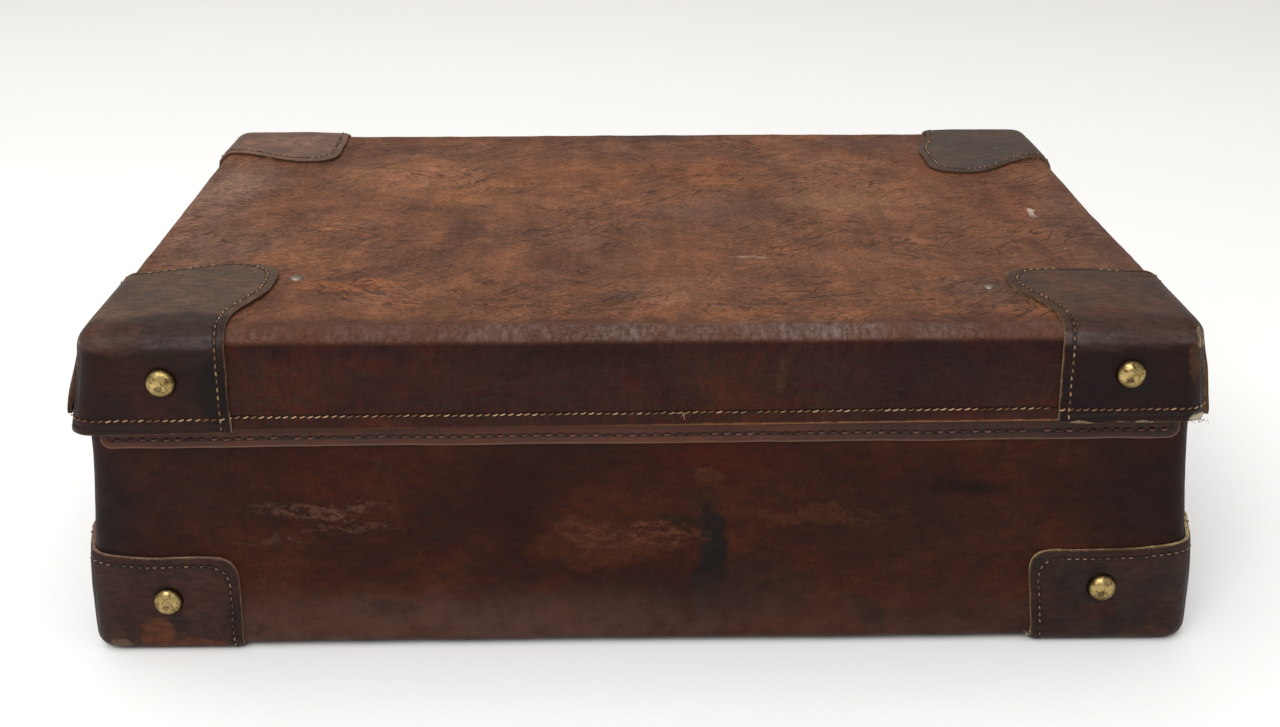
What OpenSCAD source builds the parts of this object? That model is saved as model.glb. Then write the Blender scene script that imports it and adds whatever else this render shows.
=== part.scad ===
// Hard-sided hide case: a lid that closes over the base, turning on a sewn leather hinge strip.
// Frame: +Z up, width along X, hinge side at +Y, handle and locks at -Y, floor at Z = 0.

/* [Case] */
// Width of the lid over its hide
lid_w = 560; // [520:10:600]
// Depth of the lid over its hide
lid_d = 392; // [350:2:410]
// Height of the lid's top above the floor
top_h = 180; // [174:1:188]
// Height of the lid's lower edge above the floor
seam_h = 129; // [124:1:130]
// Radius of the lid's upright corners
lid_r = 15; // [13:0.5:18]
// Radius along the lid's top edges
lid_edge_r = 10; // [6:0.5:11]
// Radius along the base's bottom edges
base_edge_r = 6; // [5:0.5:8]
// How far the base wall stands up inside the lid
lip_h = 16; // [12:1:17]

/* [Leather and boards] */
// Thickness of the lid's hide
lid_t = 2.8; // [2.4:0.1:3.2]
// Thickness of the base's hide
base_t = 3; // [2.5:0.1:3.5]
// Thickness of the corner patches
patch_t = 2.6; // [2:0.1:3]
// Thickness of the hinge strip
strip_t = 2.2; // [1.6:0.1:2.4]
// Thickness of the fibre wall boards
board_t = 2.2; // [1.6:0.1:2.6]
// Thickness of the board under the lid's top
lid_board_t = 2.5; // [2:0.1:3]
// Thickness of the cloth lining
lining_t = 0.8; // [0.6:0.1:1]

/* [Gaps] */
// Gap between the lid and base walls at the sides
side_gap = 0.8; // [0.6:0.1:1.2]
// Gap between the lid and base walls at the front
front_gap = 1.2; // [1:0.1:1.6]
// Gap between the hinge strip and the lid's rear wall
strip_gap = 1.4; // [1.2:0.1:1.8]

/* [Corner patches] */
// Reach of a lid patch along the width
lid_patch_x = 80; // [60:1:85]
// Reach of the rear left lid patch along the depth
rear_left_patch_y = 100; // [60:1:120]
// Reach of the rear right lid patch along the depth
rear_right_patch_y = 86; // [60:1:120]
// Reach of the front left lid patch along the depth
front_left_patch_y = 79; // [60:1:120]
// Reach of the front right lid patch along the depth
front_right_patch_y = 112; // [60:1:120]
// Radius of a lid patch's lobe on the top
lid_lobe_r = 20; // [12:1:26]
// Reach of a base patch along the width
base_patch_x = 72; // [60:1:85]
// Reach of a base patch along the depth
base_patch_y = 74; // [60:1:85]
// Height of a base patch on the front and rear
base_patch_h = 54; // [44:1:58]
// Height of a base patch on the side
base_patch_side_h = 64; // [59:1:70]

/* [Hinge strip] */
// How far the strip shows below the lid's edge
strip_show = 11.5; // [9:0.5:14]
// Distance of each strip end from the base's side
strip_inset = 4; // [3:0.5:8]

/* [Brass feet and rivets] */
// Diameter of a domed foot
stud_d = 15.4; // [13:0.2:17]
// Height of a domed foot's head
stud_h = 5.4; // [4:0.2:6]
// Distance of the left lid foot from the lid's side
lid_stud_in_left = 43; // [34:1:46]
// Distance of the right lid foot from the lid's side
lid_stud_in_right = 38; // [34:1:46]
// Distance of the left base foot from the base's side
base_stud_in_left = 30; // [26:1:44]
// Distance of the right base foot from the base's side
base_stud_in_right = 36; // [26:1:44]
// Height of the left base foot above the floor
stud_low_left = 31; // [24:1:34]
// Height of the right base foot above the floor
stud_low_right = 34; // [24:1:34]
// Height of the left lid foot above the lid's edge
stud_high_left = 27; // [23:1:28]
// Height of the right lid foot above the lid's edge
stud_high_right = 28; // [23:1:28]
// Distance of a lid rivet from the lid's side
lid_rivet_in = 97; // [90:1:110]
// Distance of the left lid rivet from the hinge side
rivet_back_left = 79; // [50:1:100]
// Distance of the right lid rivet from the hinge side
rivet_back_right = 59; // [50:1:100]

/* [Handle] */
// Half the distance between the handle's pivots
handle_x = 72; // [66:1:80]
// Height of the handle's pivots above the floor
handle_z = 100; // [92:1:102]
// Drop from the pivots to the middle of the grip
handle_drop = 45; // [42:1:50]

/* [Locks] */
// Distance of a lock from the middle
lock_x = 165; // [150:1:190]
// Height of a lock's middle above the floor
lock_z = 106; // [100:1:106]

/* [Hidden] */
$fn = 48;

// sides: +1 is the +X side, which is the left when the case is seen from its hinge side
LEFT = 1;
RIGHT = -1;
REAR = 1;
FRONT = -1;

// leather and brass colours
hide = [0.29, 0.15, 0.11];
patch_hide = [0.20, 0.14, 0.12];
board = [0.45, 0.36, 0.25];
cloth = [0.72, 0.62, 0.48];
brass = [0.71, 0.58, 0.30];
steel = [0.45, 0.44, 0.42];

// handle section and where the outermost points lie
grip_half_y = 11;
grip_half_z = 9.5;
pivot_out = 13;
front_reach = pivot_out + grip_half_y - lid_t - front_gap;
rear_reach = patch_t + stud_h;
lid_y = (front_reach - rear_reach) / 2;
front_y = lid_y - lid_d / 2;
rear_y = lid_y + lid_d / 2;

// base walls
base_w = lid_w - 2 * (lid_t + side_gap);
base_front = front_y + lid_t + front_gap;
base_rear = rear_y - lid_t - strip_gap - strip_t;
base_d = base_rear - base_front;
base_y = (base_rear + base_front) / 2;
base_z = patch_t;
base_r = lid_r - lid_t - side_gap;
rim_top = seam_h + lip_h;
binding_t = 1.2;
frame_t = 5;
frame_h = 20;
shell_top = rim_top - binding_t;
frame_z = shell_top - frame_h;
inner_w = base_w - 2 * base_t;
inner_d = base_d - 2 * base_t;
floor_z = base_z + base_t;
corner_clear = base_r + 1;

// hinge strip leaves
leaf_gap = 0.3;
strip_top = seam_h + lip_h - 1;
leaf_t = 2;

// rivet sizes
rivet_r = 1.5;
rivet_head_r = 3;
rivet_head_h = 1.2;
stud_shank_r = 2;
burr_t = 1;
shank_gap = 0.05;
lid_rivet_spots = [
    [lid_w / 2 - lid_rivet_in, rear_y - rivet_back_left],
    [lid_rivet_in - lid_w / 2, rear_y - rivet_back_right]
];
lid_stud_spots = [
    [lid_w / 2 - lid_stud_in_left, seam_h + stud_high_left],
    [lid_stud_in_right - lid_w / 2, seam_h + stud_high_right]
];
base_stud_spots = [
    [base_w / 2 - base_stud_in_left, stud_low_left],
    [base_stud_in_right - base_w / 2, stud_low_right]
];
lid_rivet_head_r = 4;

// handle fittings, measured from the base's front face
handle_plate_w = 40;
handle_plate_h = 36;
plate_t = 1.6;
ear_t = 3;
eye_half = 4;
pin_r = 2.5;
pin_gap = 0.05;

// lock fittings, measured from the base's front face
lock_plate_w = 66;
lock_plate_h = 36;
case_w = 52;
case_h = 28;
case_out = 7;
case_wall = 1.2;
staple_z = lock_z + 2;
bolt_z = staple_z;
slide_travel = 5;
hasp_gap = 0.6;
hasp_t = 1.8;
knuckle_r = 2.8;
hasp_pin_r = 1.2;
leaf_plate_t = 1.4;
hasp_pin_y = front_y - 0.3 - knuckle_r;
hasp_pin_z = seam_h + 9;
leaf_h = 25;
leaf_w = 22;

// ---------------------------------------------------------------- shared shapes

// Flat outline with round corners
module round_rect(w, d, r) {
    square([w - 2 * r, d], center = true);
    square([w, d - 2 * r], center = true);
    for (x = [-1, 1], y = [-1, 1])
        translate([x * (w / 2 - r), y * (d / 2 - r)]) circle(r);
}

// Half profile of one upright corner: radius r, rounded low edge a and high edge b
function corner_profile(z0, z1, r, a, b, n = 7) = concat(
    [[0, z0]],
    a > 0 ? [for (i = [0:n]) [r - a + a * sin(90 * i / n), z0 + a - a * cos(90 * i / n)]] : [[r, z0]],
    b > 0 ? [for (i = [0:n]) [r - b + b * cos(90 * i / n), z1 - b + b * sin(90 * i / n)]] : [[r, z1]],
    [[0, z1]]
);

// Solid block with round upright corners and rounded low and high edges
module soft_block(w, d, z0, z1, r, a, b) {
    hull()
        for (x = [-1, 1], y = [-1, 1])
            translate([x * (w / 2 - r), y * (d / 2 - r), 0])
                rotate_extrude($fn = 32) polygon(corner_profile(z0, z1, r, a, b));
}

// Dome of radius r and height h on a short band, standing on Z = 0
module dome(r, h, band = 0.8) {
    n = 8;
    rotate_extrude()
        polygon(concat(
            [[0, 0], [r, 0]],
            [for (i = [0:n - 1]) [r * cos(90 * i / n), band + (h - band) * sin(90 * i / n)]],
            [[0, h]]
        ));
}

// Stands a flat outline up against a wall at y, growing outwards to -Y by t
module on_front(y, t) {
    translate([0, y, 0]) rotate([90, 0, 0]) linear_extrude(t) children();
}

// Upright plate outline centred at height z
module plate_outline(w, h, z, r) {
    translate([0, z]) round_rect(w, h, r);
}

// ---------------------------------------------------------------- where the fixings go

module at_rear_studs(spots) {
    for (spot = spots) translate([spot.x, 0, spot.y]) children();
}

module at_handle_rivets() {
    for (s = [LEFT, RIGHT], x = [-1, 1], z = [-1, 1])
        translate([s * handle_x + x * (handle_plate_w / 2 - 5), 0, handle_z + z * (handle_plate_h / 2 - 5)])
            children();
}

module at_lock_rivets() {
    for (s = [LEFT, RIGHT], x = [-1, 1], z = [-1, 1])
        translate([s * lock_x + x * (lock_plate_w / 2 - 3.6), 0, lock_z + z * (lock_plate_h / 2 - 4.5)])
            children();
}

module at_leaf_rivets() {
    for (s = [LEFT, RIGHT], x = [-1, 1])
        translate([s * lock_x + x * (leaf_w / 2 - 4.5), 0, hasp_pin_z + 18]) children();
}

// Cylinder along Y from y0 to y1
module rod_y(r, y0, y1) {
    translate([0, y1, 0]) rotate([90, 0, 0]) cylinder(r = r, h = y1 - y0);
}

// Cylinder along X from x0 to x1
module rod_x(r, x0, x1) {
    translate([x0, 0, 0]) rotate([0, 90, 0]) cylinder(r = r, h = x1 - x0);
}

inner_front = base_front + base_t + board_t + lining_t;
inner_rear = base_rear - base_t - board_t - lining_t;
lid_inner_front = front_y + lid_t + lining_t;
lid_inner_rear = rear_y - lid_t - lining_t;

// Shank holes of everything that is riveted through the base's walls
module base_holes() {
    r = rivet_r + shank_gap;
    at_handle_rivets() rod_y(r, base_front - 5, inner_front + 5);
    at_lock_rivets() rod_y(r, base_front - 5, inner_front + 5);
    at_rear_studs(base_stud_spots) rod_y(stud_shank_r + shank_gap, inner_rear - 5, rear_y + 5);
}

// Shank holes of everything that is riveted through the lid
module lid_holes() {
    at_leaf_rivets() rod_y(rivet_r + shank_gap, front_y - 5, lid_inner_front + 5);
    at_rear_studs(lid_stud_spots)
        rod_y(stud_shank_r + shank_gap, lid_inner_rear - 5, rear_y + 5);
    for (p = lid_rivet_spots)
        translate([p.x, p.y, top_h - 12]) cylinder(r = rivet_r + shank_gap, h = 14);
}

// ---------------------------------------------------------------- base

module base_outer(grow = 0, tall = 0) {
    translate([0, base_y, 0])
        soft_block(base_w + 2 * grow, base_d + 2 * grow, base_z - grow, shell_top + tall,
            base_r + grow, base_edge_r + grow, 0);
}

module base_shell() {
    color(hide)
    difference() {
        base_outer();
        translate([0, base_y, 0])
            soft_block(inner_w, inner_d, floor_z, rim_top, base_r - base_t, base_edge_r - base_t, 0);
        base_holes();
    }
}

module base_bottom_board() {
    edge = 2 * (base_edge_r - base_t);
    color(board)
    translate([0, base_y, floor_z])
        linear_extrude(board_t) round_rect(inner_w - edge, inner_d - edge, base_r - base_t);
}

// One upright board against the front (FRONT) or rear (REAR) wall
module wall_board(side) {
    y = side == FRONT ? base_front + base_t : base_rear - base_t - board_t;
    low = floor_z + max(board_t, base_edge_r - base_t) + 0.2;
    difference() {
        translate([-inner_w / 2 + corner_clear, y, low])
            cube([inner_w - 2 * corner_clear, board_t, frame_z - low]);
        base_holes();
    }
}

module base_front_board() {
    color(board) wall_board(FRONT);
}

module base_rear_board() {
    color(board) wall_board(REAR);
}

module base_side_boards() {
    low = floor_z + max(board_t, base_edge_r - base_t) + 0.2;
    color(board)
    for (s = [0, 1]) mirror([s, 0, 0])
        translate([inner_w / 2 - board_t, base_y - inner_d / 2 + corner_clear, low])
            cube([board_t, inner_d - 2 * corner_clear, frame_z - low]);
}

// Four wooden bars round the mouth, mitred short of the round corners
module rim_frame() {
    color("burlywood") {
        for (y = [base_front + base_t, base_rear - base_t - frame_t])
            translate([-inner_w / 2 + corner_clear, y, frame_z])
                difference() {
                    cube([inner_w - 2 * corner_clear, frame_t, frame_h]);
                    translate([inner_w / 2 - corner_clear, -y, -frame_z]) base_holes();
                }
        for (s = [0, 1]) mirror([s, 0, 0])
            translate([inner_w / 2 - frame_t, base_y - inner_d / 2 + corner_clear, frame_z])
                cube([frame_t, inner_d - 2 * corner_clear, frame_h]);
    }
}

// Leather edging: a flat cap over wall and frame, and a flap down the frame's inner face
module rim_binding() {
    flap_t = 1;
    flap_h = 12;
    cap_w = base_t + frame_t + flap_t;
    color(patch_hide)
    translate([0, base_y, 0])
        difference() {
            translate([0, 0, shell_top - flap_h])
                linear_extrude(flap_h + binding_t) round_rect(base_w - 0.4, base_d - 0.4, base_r - 0.2);
            translate([0, 0, shell_top - flap_h - 1])
                linear_extrude(flap_h + binding_t + 2)
                    round_rect(base_w - 2 * cap_w, base_d - 2 * cap_w, base_r - base_t);
            difference() {
                translate([0, 0, shell_top - flap_h - 1])
                    linear_extrude(flap_h + 1) square([base_w + 2, base_d + 2], center = true);
                translate([0, 0, shell_top - flap_h - 2])
                    linear_extrude(flap_h + 3)
                        round_rect(base_w - 2 * (base_t + frame_t), base_d - 2 * (base_t + frame_t),
                            base_r - base_t);
            }
        }
}

module base_lining() {
    w = inner_w - 2 * board_t;
    d = inner_d - 2 * board_t;
    low = floor_z + board_t;
    color(cloth)
    difference() {
        translate([0, base_y, low]) linear_extrude(frame_z - low - 0.2) round_rect(w, d, base_r - base_t);
        translate([0, base_y, low + lining_t])
            linear_extrude(frame_z)
                round_rect(w - 2 * lining_t, d - 2 * lining_t, base_r - base_t - lining_t);
        base_holes();
    }
}

// Outline of the strip's showing leaf, with round lower corners
module strip_leaf_outline(r = 5) {
    half = base_w / 2 - strip_inset;
    top = seam_h - leaf_gap;
    low = seam_h - strip_show;
    translate([-half + r, low]) square([2 * half - 2 * r, top - low]);
    translate([-half, low + r]) square([2 * half, top - low - r]);
    for (x = [-1, 1]) translate([x * (half - r), low + r]) circle(r);
}

module hinge_strip_base() {
    color(hide) on_front(base_rear + strip_t, strip_t) strip_leaf_outline();
}

// Corner patch of the base, drawn at the +X +Y corner about the base's middle
module base_patch_corner() {
    reach = patch_t + 2;
    side_band = 13;
    low = -1;
    x0 = base_w / 2 - base_patch_x;
    y0 = base_d / 2 - base_patch_y;
    r = 9;
    intersection() {
        translate([0, -base_y, 0])
            difference() {
                base_outer(patch_t);
                base_outer(0, 1);
            }
        // plan outline
        translate([x0, y0, low])
            linear_extrude(base_patch_side_h - low)
                union() {
                    translate([r, 0]) square([base_patch_x + reach - r, base_patch_y + reach]);
                    translate([0, r]) square([base_patch_x + reach, base_patch_y + reach - r]);
                    translate([r, r]) circle(r);
                }
        // height: lower on the front and rear face, higher round the side
        union() {
            translate([x0, y0, low])
                cube([base_patch_x + reach, base_patch_y + reach, base_patch_h - r - low]);
            translate([x0 + r, y0, low])
                cube([base_patch_x + reach - r, base_patch_y + reach, base_patch_h - low]);
            translate([x0 + r, y0, base_patch_h - r])
                rotate([-90, 0, 0]) cylinder(r = r, h = base_patch_y + reach);
            translate([base_w / 2 - side_band, y0, low])
                cube([side_band + reach, base_patch_y + reach, base_patch_side_h - low]);
        }
    }
}

module base_patch(side, end) {
    color(patch_hide)
    difference() {
        translate([0, base_y, 0])
            mirror([side == RIGHT ? 1 : 0, 0, 0])
                mirror([0, end == FRONT ? 1 : 0, 0])
                    base_patch_corner();
        if (end == REAR) base_holes();
    }
}

module base_patch_rear_left() {
    base_patch(LEFT, REAR);
}

module base_patch_rear_right() {
    base_patch(RIGHT, REAR);
}

module base_patch_front_left() {
    base_patch(LEFT, FRONT);
}

module base_patch_front_right() {
    base_patch(RIGHT, FRONT);
}

// Domed foot on the rear face at y_face, its shank running in to y_in
module stud(y_face, y_in) {
    translate([0, y_face, 0]) rotate([-90, 0, 0]) dome(stud_d / 2, stud_h);
    rod_y(stud_shank_r, y_in, y_face + 0.5);
}

// Washer over a shank, on an inner face at y, growing to side
module burr(y, side, hole_r, r) {
    translate([0, side == FRONT ? y : y + burr_t, 0])
        rotate([90, 0, 0])
            difference() {
                cylinder(r = r, h = burr_t);
                translate([0, 0, -1]) cylinder(r = hole_r + shank_gap, h = burr_t + 2);
            }
}

module base_studs() {
    color(brass)
    at_rear_studs(base_stud_spots) stud(base_rear + patch_t, inner_rear - burr_t - 0.5);
}

module base_stud_burrs() {
    color(brass)
    at_rear_studs(base_stud_spots) burr(inner_rear, FRONT, stud_shank_r, 5);
}

// ---------------------------------------------------------------- handle fittings

module handle_ear() {
    difference() {
        union() {
            rod_x(6.2, 0, ear_t);
            translate([0, 0, -6.2]) cube([ear_t, pivot_out - plate_t, 12.4]);
        }
        rod_x(pin_r + 0.02, -1, ear_t + 1);
    }
}

module handle_plate(side) {
    color(brass)
    difference() {
        translate([side * handle_x, 0, 0]) {
            on_front(base_front, plate_t) plate_outline(handle_plate_w, handle_plate_h, handle_z, 5);
            for (x = [eye_half + 0.3, -eye_half - 0.3 - ear_t])
                translate([x, base_front - pivot_out, handle_z]) handle_ear();
        }
        base_holes();
    }
}

module handle_plate_left() {
    handle_plate(LEFT);
}

module handle_plate_right() {
    handle_plate(RIGHT);
}

module handle_pins() {
    half = eye_half + ear_t + 0.3;
    color(brass)
    for (s = [LEFT, RIGHT])
        translate([s * handle_x, base_front - pivot_out, handle_z]) {
            rod_x(pin_r, -half - 0.4, half + 0.4);
            rod_x(pin_r + 1, half, half + 1.4);
            rod_x(pin_r + 1, -half - 1.4, -half);
        }
}

// ---------------------------------------------------------------- handle

function grip_point(s) = [
    -handle_x * cos(180 * s),
    -12 - (handle_drop - 12) * sqrt(max(0, sin(180 * s)))
];
function grip_dir(s, e = 0.004) =
    let (d = grip_point(min(1, s + e)) - grip_point(max(0, s - e))) d / norm(d);

// Ring of points round the grip at s, shrunk by thin
function grip_ring(s, thin, n) =
    let (
        c = grip_point(s),
        t = grip_dir(s),
        fat = pow(sin(180 * s), 0.7),
        a = 4.2 + (grip_half_z - 4.2) * fat - thin,
        b = 4.2 + (grip_half_y - 4.2) * fat - thin
    )
    [for (k = [0:n - 1])
        let (u = a * cos(360 * k / n), v = b * sin(360 * k / n))
        [c.x - t.y * u, v, c.y + t.x * u]];

// Swept tube from s0 to s1 with rings rings of n points
module grip_sweep(thin, s0, s1, rings = 30, n = 16) {
    points = [for (i = [0:rings]) each grip_ring(s0 + (s1 - s0) * i / rings, thin, n)];
    walls = [for (i = [0:rings - 1], k = [0:n - 1])
        [i * n + k, i * n + (k + 1) % n, (i + 1) * n + (k + 1) % n, (i + 1) * n + k]];
    ends = [[for (k = [0:n - 1]) n - 1 - k], [for (k = [0:n - 1]) rings * n + k]];
    translate([0, base_front - pivot_out, handle_z])
        polyhedron(points = points, faces = concat(walls, ends), convexity = 6);
}

module handle_grip() {
    color(patch_hide)
    difference() {
        grip_sweep(0, 0, 1);
        grip_sweep(2.4, 0.1, 0.9);
    }
}

module handle_core() {
    color(steel) grip_sweep(2.4, 0.1, 0.9);
}

// Brass eye that turns on the pin, with a socket that holds the grip's end
module handle_end(side) {
    socket_top = -8;
    socket_h = 10;
    color(brass)
    translate([side * handle_x, base_front - pivot_out, handle_z])
        difference() {
            union() {
                rod_x(6, -eye_half, eye_half);
                translate([-eye_half, -4, socket_top - 1]) cube([2 * eye_half, 8, 8]);
                translate([0, 0, socket_top - socket_h]) linear_extrude(socket_h) round_rect(14.4, 13.6, 3);
            }
            rod_x(pin_r + pin_gap, -eye_half - 1, eye_half + 1);
            translate([0, 0, socket_top - socket_h - 1])
                linear_extrude(socket_h + 1 - 4 + 0.05) square([10.8, 10.6], center = true);
        }
}

module handle_end_left() {
    handle_end(LEFT);
}

module handle_end_right() {
    handle_end(RIGHT);
}

// ---------------------------------------------------------------- locks

// Places a lock's own pieces: X = 0 at its middle, drawn for the side where the slide is outwards
module at_lock(side) {
    translate([side * lock_x, 0, 0]) mirror([side == RIGHT ? 1 : 0, 0, 0]) children();
}

module lock_plate(side) {
    color(brass)
    difference() {
        at_lock(side) {
            on_front(base_front, plate_t) plate_outline(lock_plate_w, lock_plate_h, lock_z, 5);
            // two guides that the bolt runs between
            for (z = [-4.2, 2])
                translate([8, base_front - plate_t - 5, bolt_z + z]) cube([3.5, 5, 2.2]);
        }
        base_holes();
    }
}

module lock_plate_left() {
    lock_plate(LEFT);
}

module lock_plate_right() {
    lock_plate(RIGHT);
}

module lock_case(side) {
    back = base_front - plate_t;
    notch_w = 7;
    notch_low = staple_z - 5.4;
    color(brass)
    at_lock(side)
        difference() {
            on_front(back, case_out) plate_outline(case_w, case_h, lock_z, 4);
            on_front(back + 1, case_out - case_wall + 1)
                plate_outline(case_w - 2 * case_wall, case_h - 2 * case_wall, lock_z, 4 - case_wall);
            // notch that the hasp's staple drops into, open at the top
            translate([-notch_w / 2, back - case_out - 1, notch_low])
                cube([notch_w, case_out + 2, case_h]);
            // slot for the thumb slide's stem
            translate([12, back - case_out - 1, bolt_z - 1.8]) cube([9.4, case_wall + 2, 3.6]);
        }
}

module lock_case_left() {
    lock_case(LEFT);
}

module lock_case_right() {
    lock_case(RIGHT);
}

// Bolt inside the case with its stem and thumb button, drawn back from the staple
module lock_slide(side) {
    back = base_front - plate_t;
    face = back - case_out;
    color(brass)
    at_lock(side) {
        translate([3.6, back - 4.9, bolt_z - 1.6]) cube([18, 3, 3.2]);
        translate([17.6, face - 0.5, bolt_z - 1.5]) cube([3, case_out - 3.9 + 0.5, 3]);
        translate([19.1, 0, bolt_z]) {
            rod_y(4.2, face - 2.1, face - 0.3);
            rod_y(3, face - 2.9, face - 2);
        }
    }
}

module lock_slide_left() {
    lock_slide(LEFT);
}

module lock_slide_right() {
    lock_slide(RIGHT);
}

// Hasp: knuckle, plate with a finger lip, and the staple behind it with its eye
module hasp(side) {
    back = base_front - plate_t - case_out - hasp_gap;
    plate_top = hasp_pin_z - 3.4;
    plate_low = staple_z - 14;
    eye_y = base_front - plate_t - 5.3;
    color(brass)
    at_lock(side)
        difference() {
            union() {
                translate([0, hasp_pin_y, hasp_pin_z]) rod_x(knuckle_r, -4, 4);
                translate([-4, back - hasp_t, plate_top - 1]) cube([8, hasp_t + 0.6, 3.2]);
                on_front(back, hasp_t)
                    translate([0, (plate_top + plate_low) / 2]) round_rect(16, plate_top - plate_low, 4);
                translate([0, back - hasp_t, plate_low + 2.4]) rod_x(1.2, -5, 5);
                translate([-3, back - 0.5, staple_z - 3.6])
                    cube([6, base_front - plate_t - 0.6 - back + 0.5, 7.2]);
            }
            translate([0, hasp_pin_y, hasp_pin_z]) rod_x(hasp_pin_r + pin_gap, -5, 5);
            translate([-4, eye_y, staple_z - 2]) cube([8, 3.8, 4]);
        }
}

module hasp_left() {
    hasp(LEFT);
}

module hasp_right() {
    hasp(RIGHT);
}

module hasp_leaf(side) {
    color(brass)
    difference() {
        at_lock(side) {
            on_front(front_y, leaf_plate_t)
                plate_outline(leaf_w, leaf_h - 3, hasp_pin_z + leaf_h / 2 + 1.8, 4);
            for (x = [4.3, -10])
                difference() {
                    union() {
                        translate([0, hasp_pin_y, hasp_pin_z]) rod_x(knuckle_r, x, x + 5.7);
                        translate([x, front_y - leaf_plate_t, hasp_pin_z])
                            cube([5.7, leaf_plate_t, 6]);
                        translate([x, hasp_pin_y, hasp_pin_z])
                            cube([5.7, front_y - hasp_pin_y, knuckle_r]);
                    }
                    translate([0, hasp_pin_y, hasp_pin_z]) rod_x(hasp_pin_r + 0.02, x - 1, x + 7);
                }
        }
        lid_holes();
    }
}

module hasp_leaf_left() {
    hasp_leaf(LEFT);
}

module hasp_leaf_right() {
    hasp_leaf(RIGHT);
}

module hasp_pin(side) {
    color(steel)
    at_lock(side) translate([0, hasp_pin_y, hasp_pin_z]) rod_x(hasp_pin_r, -10, 10);
}

module hasp_pin_left() {
    hasp_pin(LEFT);
}

module hasp_pin_right() {
    hasp_pin(RIGHT);
}

// Rivet with its head outwards to -Y on a face at y_face, its shank running in to y_in
module front_rivet(y_face, y_in) {
    translate([0, y_face, 0]) rotate([90, 0, 0]) dome(rivet_head_r, rivet_head_h, 0.3);
    rod_y(rivet_r, y_face - 0.2, y_in);
}

module front_rivets() {
    color(brass) {
        at_handle_rivets() front_rivet(base_front - plate_t, inner_front + burr_t + 0.4);
        at_lock_rivets() front_rivet(base_front - plate_t, inner_front + burr_t + 0.4);
    }
}

module front_burrs() {
    color(steel) {
        at_handle_rivets() burr(inner_front, REAR, rivet_r, rivet_head_r);
        at_lock_rivets() burr(inner_front, REAR, rivet_r, rivet_head_r);
    }
}

module leaf_rivets() {
    color(brass) at_leaf_rivets() front_rivet(front_y - leaf_plate_t, lid_inner_front + burr_t + 0.4);
}

module leaf_burrs() {
    color(steel) at_leaf_rivets() burr(lid_inner_front, REAR, rivet_r, rivet_head_r);
}

// ---------------------------------------------------------------- lid

module lid_outer(grow = 0, deep = 0) {
    translate([0, lid_y, 0])
        soft_block(lid_w + 2 * grow, lid_d + 2 * grow, seam_h - deep, top_h + grow,
            lid_r + grow, 0, lid_edge_r + grow);
}

module lid_shell() {
    color(hide)
    difference() {
        lid_outer();
        translate([0, lid_y, 0])
            soft_block(lid_w - 2 * lid_t, lid_d - 2 * lid_t, seam_h - 1, top_h - lid_t,
                lid_r - lid_t, 0, lid_edge_r - lid_t);
        lid_holes();
    }
}

module lid_board() {
    inset = 2 * (lid_edge_r + 0.2);
    color(board)
    difference() {
        translate([0, lid_y, top_h - lid_t - lid_board_t])
            linear_extrude(lid_board_t) round_rect(lid_w - inset, lid_d - inset, 6);
        lid_holes();
    }
}

module lid_lining() {
    top = top_h - lid_t - lid_board_t;
    low = rim_top + 2;
    edge = 6;
    color(cloth)
    difference() {
        translate([0, lid_y, 0])
            soft_block(lid_w - 2 * lid_t, lid_d - 2 * lid_t, low, top, lid_r - lid_t, 0, edge);
        translate([0, lid_y, 0])
            soft_block(lid_w - 2 * (lid_t + lining_t), lid_d - 2 * (lid_t + lining_t), low - 1,
                top - lining_t, lid_r - lid_t - lining_t, 0, edge - lining_t);
        lid_holes();
    }
}

// Upper leaf of the hinge strip, sewn inside the lid's rear wall
module hinge_strip_lid() {
    half = base_w / 2 - strip_inset - 8;
    color(hide)
    translate([-half, rear_y - lid_t - leaf_t, seam_h + leaf_gap])
        cube([2 * half, leaf_t, strip_top - seam_h - leaf_gap]);
}

// Corner patch of the lid, drawn at the +X +Y corner about the lid's middle
module lid_patch_corner(reach_y) {
    reach = patch_t + 2;
    r = lid_lobe_r;
    intersection() {
        translate([0, -lid_y, 0])
            difference() {
                lid_outer(patch_t);
                lid_outer(0, 1);
            }
        translate([lid_w / 2 - lid_patch_x, lid_d / 2 - reach_y, seam_h])
            linear_extrude(top_h) {
                translate([r, 0]) square([lid_patch_x + reach - r, reach_y + reach]);
                translate([0, r]) square([lid_patch_x + reach, reach_y + reach - r]);
                translate([r, r]) circle(r);
            }
    }
}

module lid_patch(side, end, reach_y) {
    color(patch_hide)
    difference() {
        translate([0, lid_y, 0])
            mirror([side == RIGHT ? 1 : 0, 0, 0])
                mirror([0, end == FRONT ? 1 : 0, 0])
                    lid_patch_corner(reach_y);
        if (end == REAR) lid_holes();
    }
}

module lid_patch_rear_left() {
    lid_patch(LEFT, REAR, rear_left_patch_y);
}

module lid_patch_rear_right() {
    lid_patch(RIGHT, REAR, rear_right_patch_y);
}

module lid_patch_front_left() {
    lid_patch(LEFT, FRONT, front_left_patch_y);
}

module lid_patch_front_right() {
    lid_patch(RIGHT, FRONT, front_right_patch_y);
}

module lid_studs() {
    color(brass)
    at_rear_studs(lid_stud_spots) stud(rear_y + patch_t, lid_inner_rear - burr_t - 0.4);
}

module lid_stud_burrs() {
    color(brass)
    at_rear_studs(lid_stud_spots) burr(lid_inner_rear, FRONT, stud_shank_r, 4.6);
}

lid_inside_top = top_h - lid_t - lid_board_t - lining_t;

module lid_rivets() {
    color(steel)
    for (p = lid_rivet_spots)
        translate([p.x, p.y, 0]) {
            translate([0, 0, top_h]) dome(lid_rivet_head_r, 1.3, 0.4);
            translate([0, 0, lid_inside_top - burr_t - 0.4])
                cylinder(r = rivet_r, h = top_h - lid_inside_top + burr_t + 0.6);
        }
}

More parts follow.
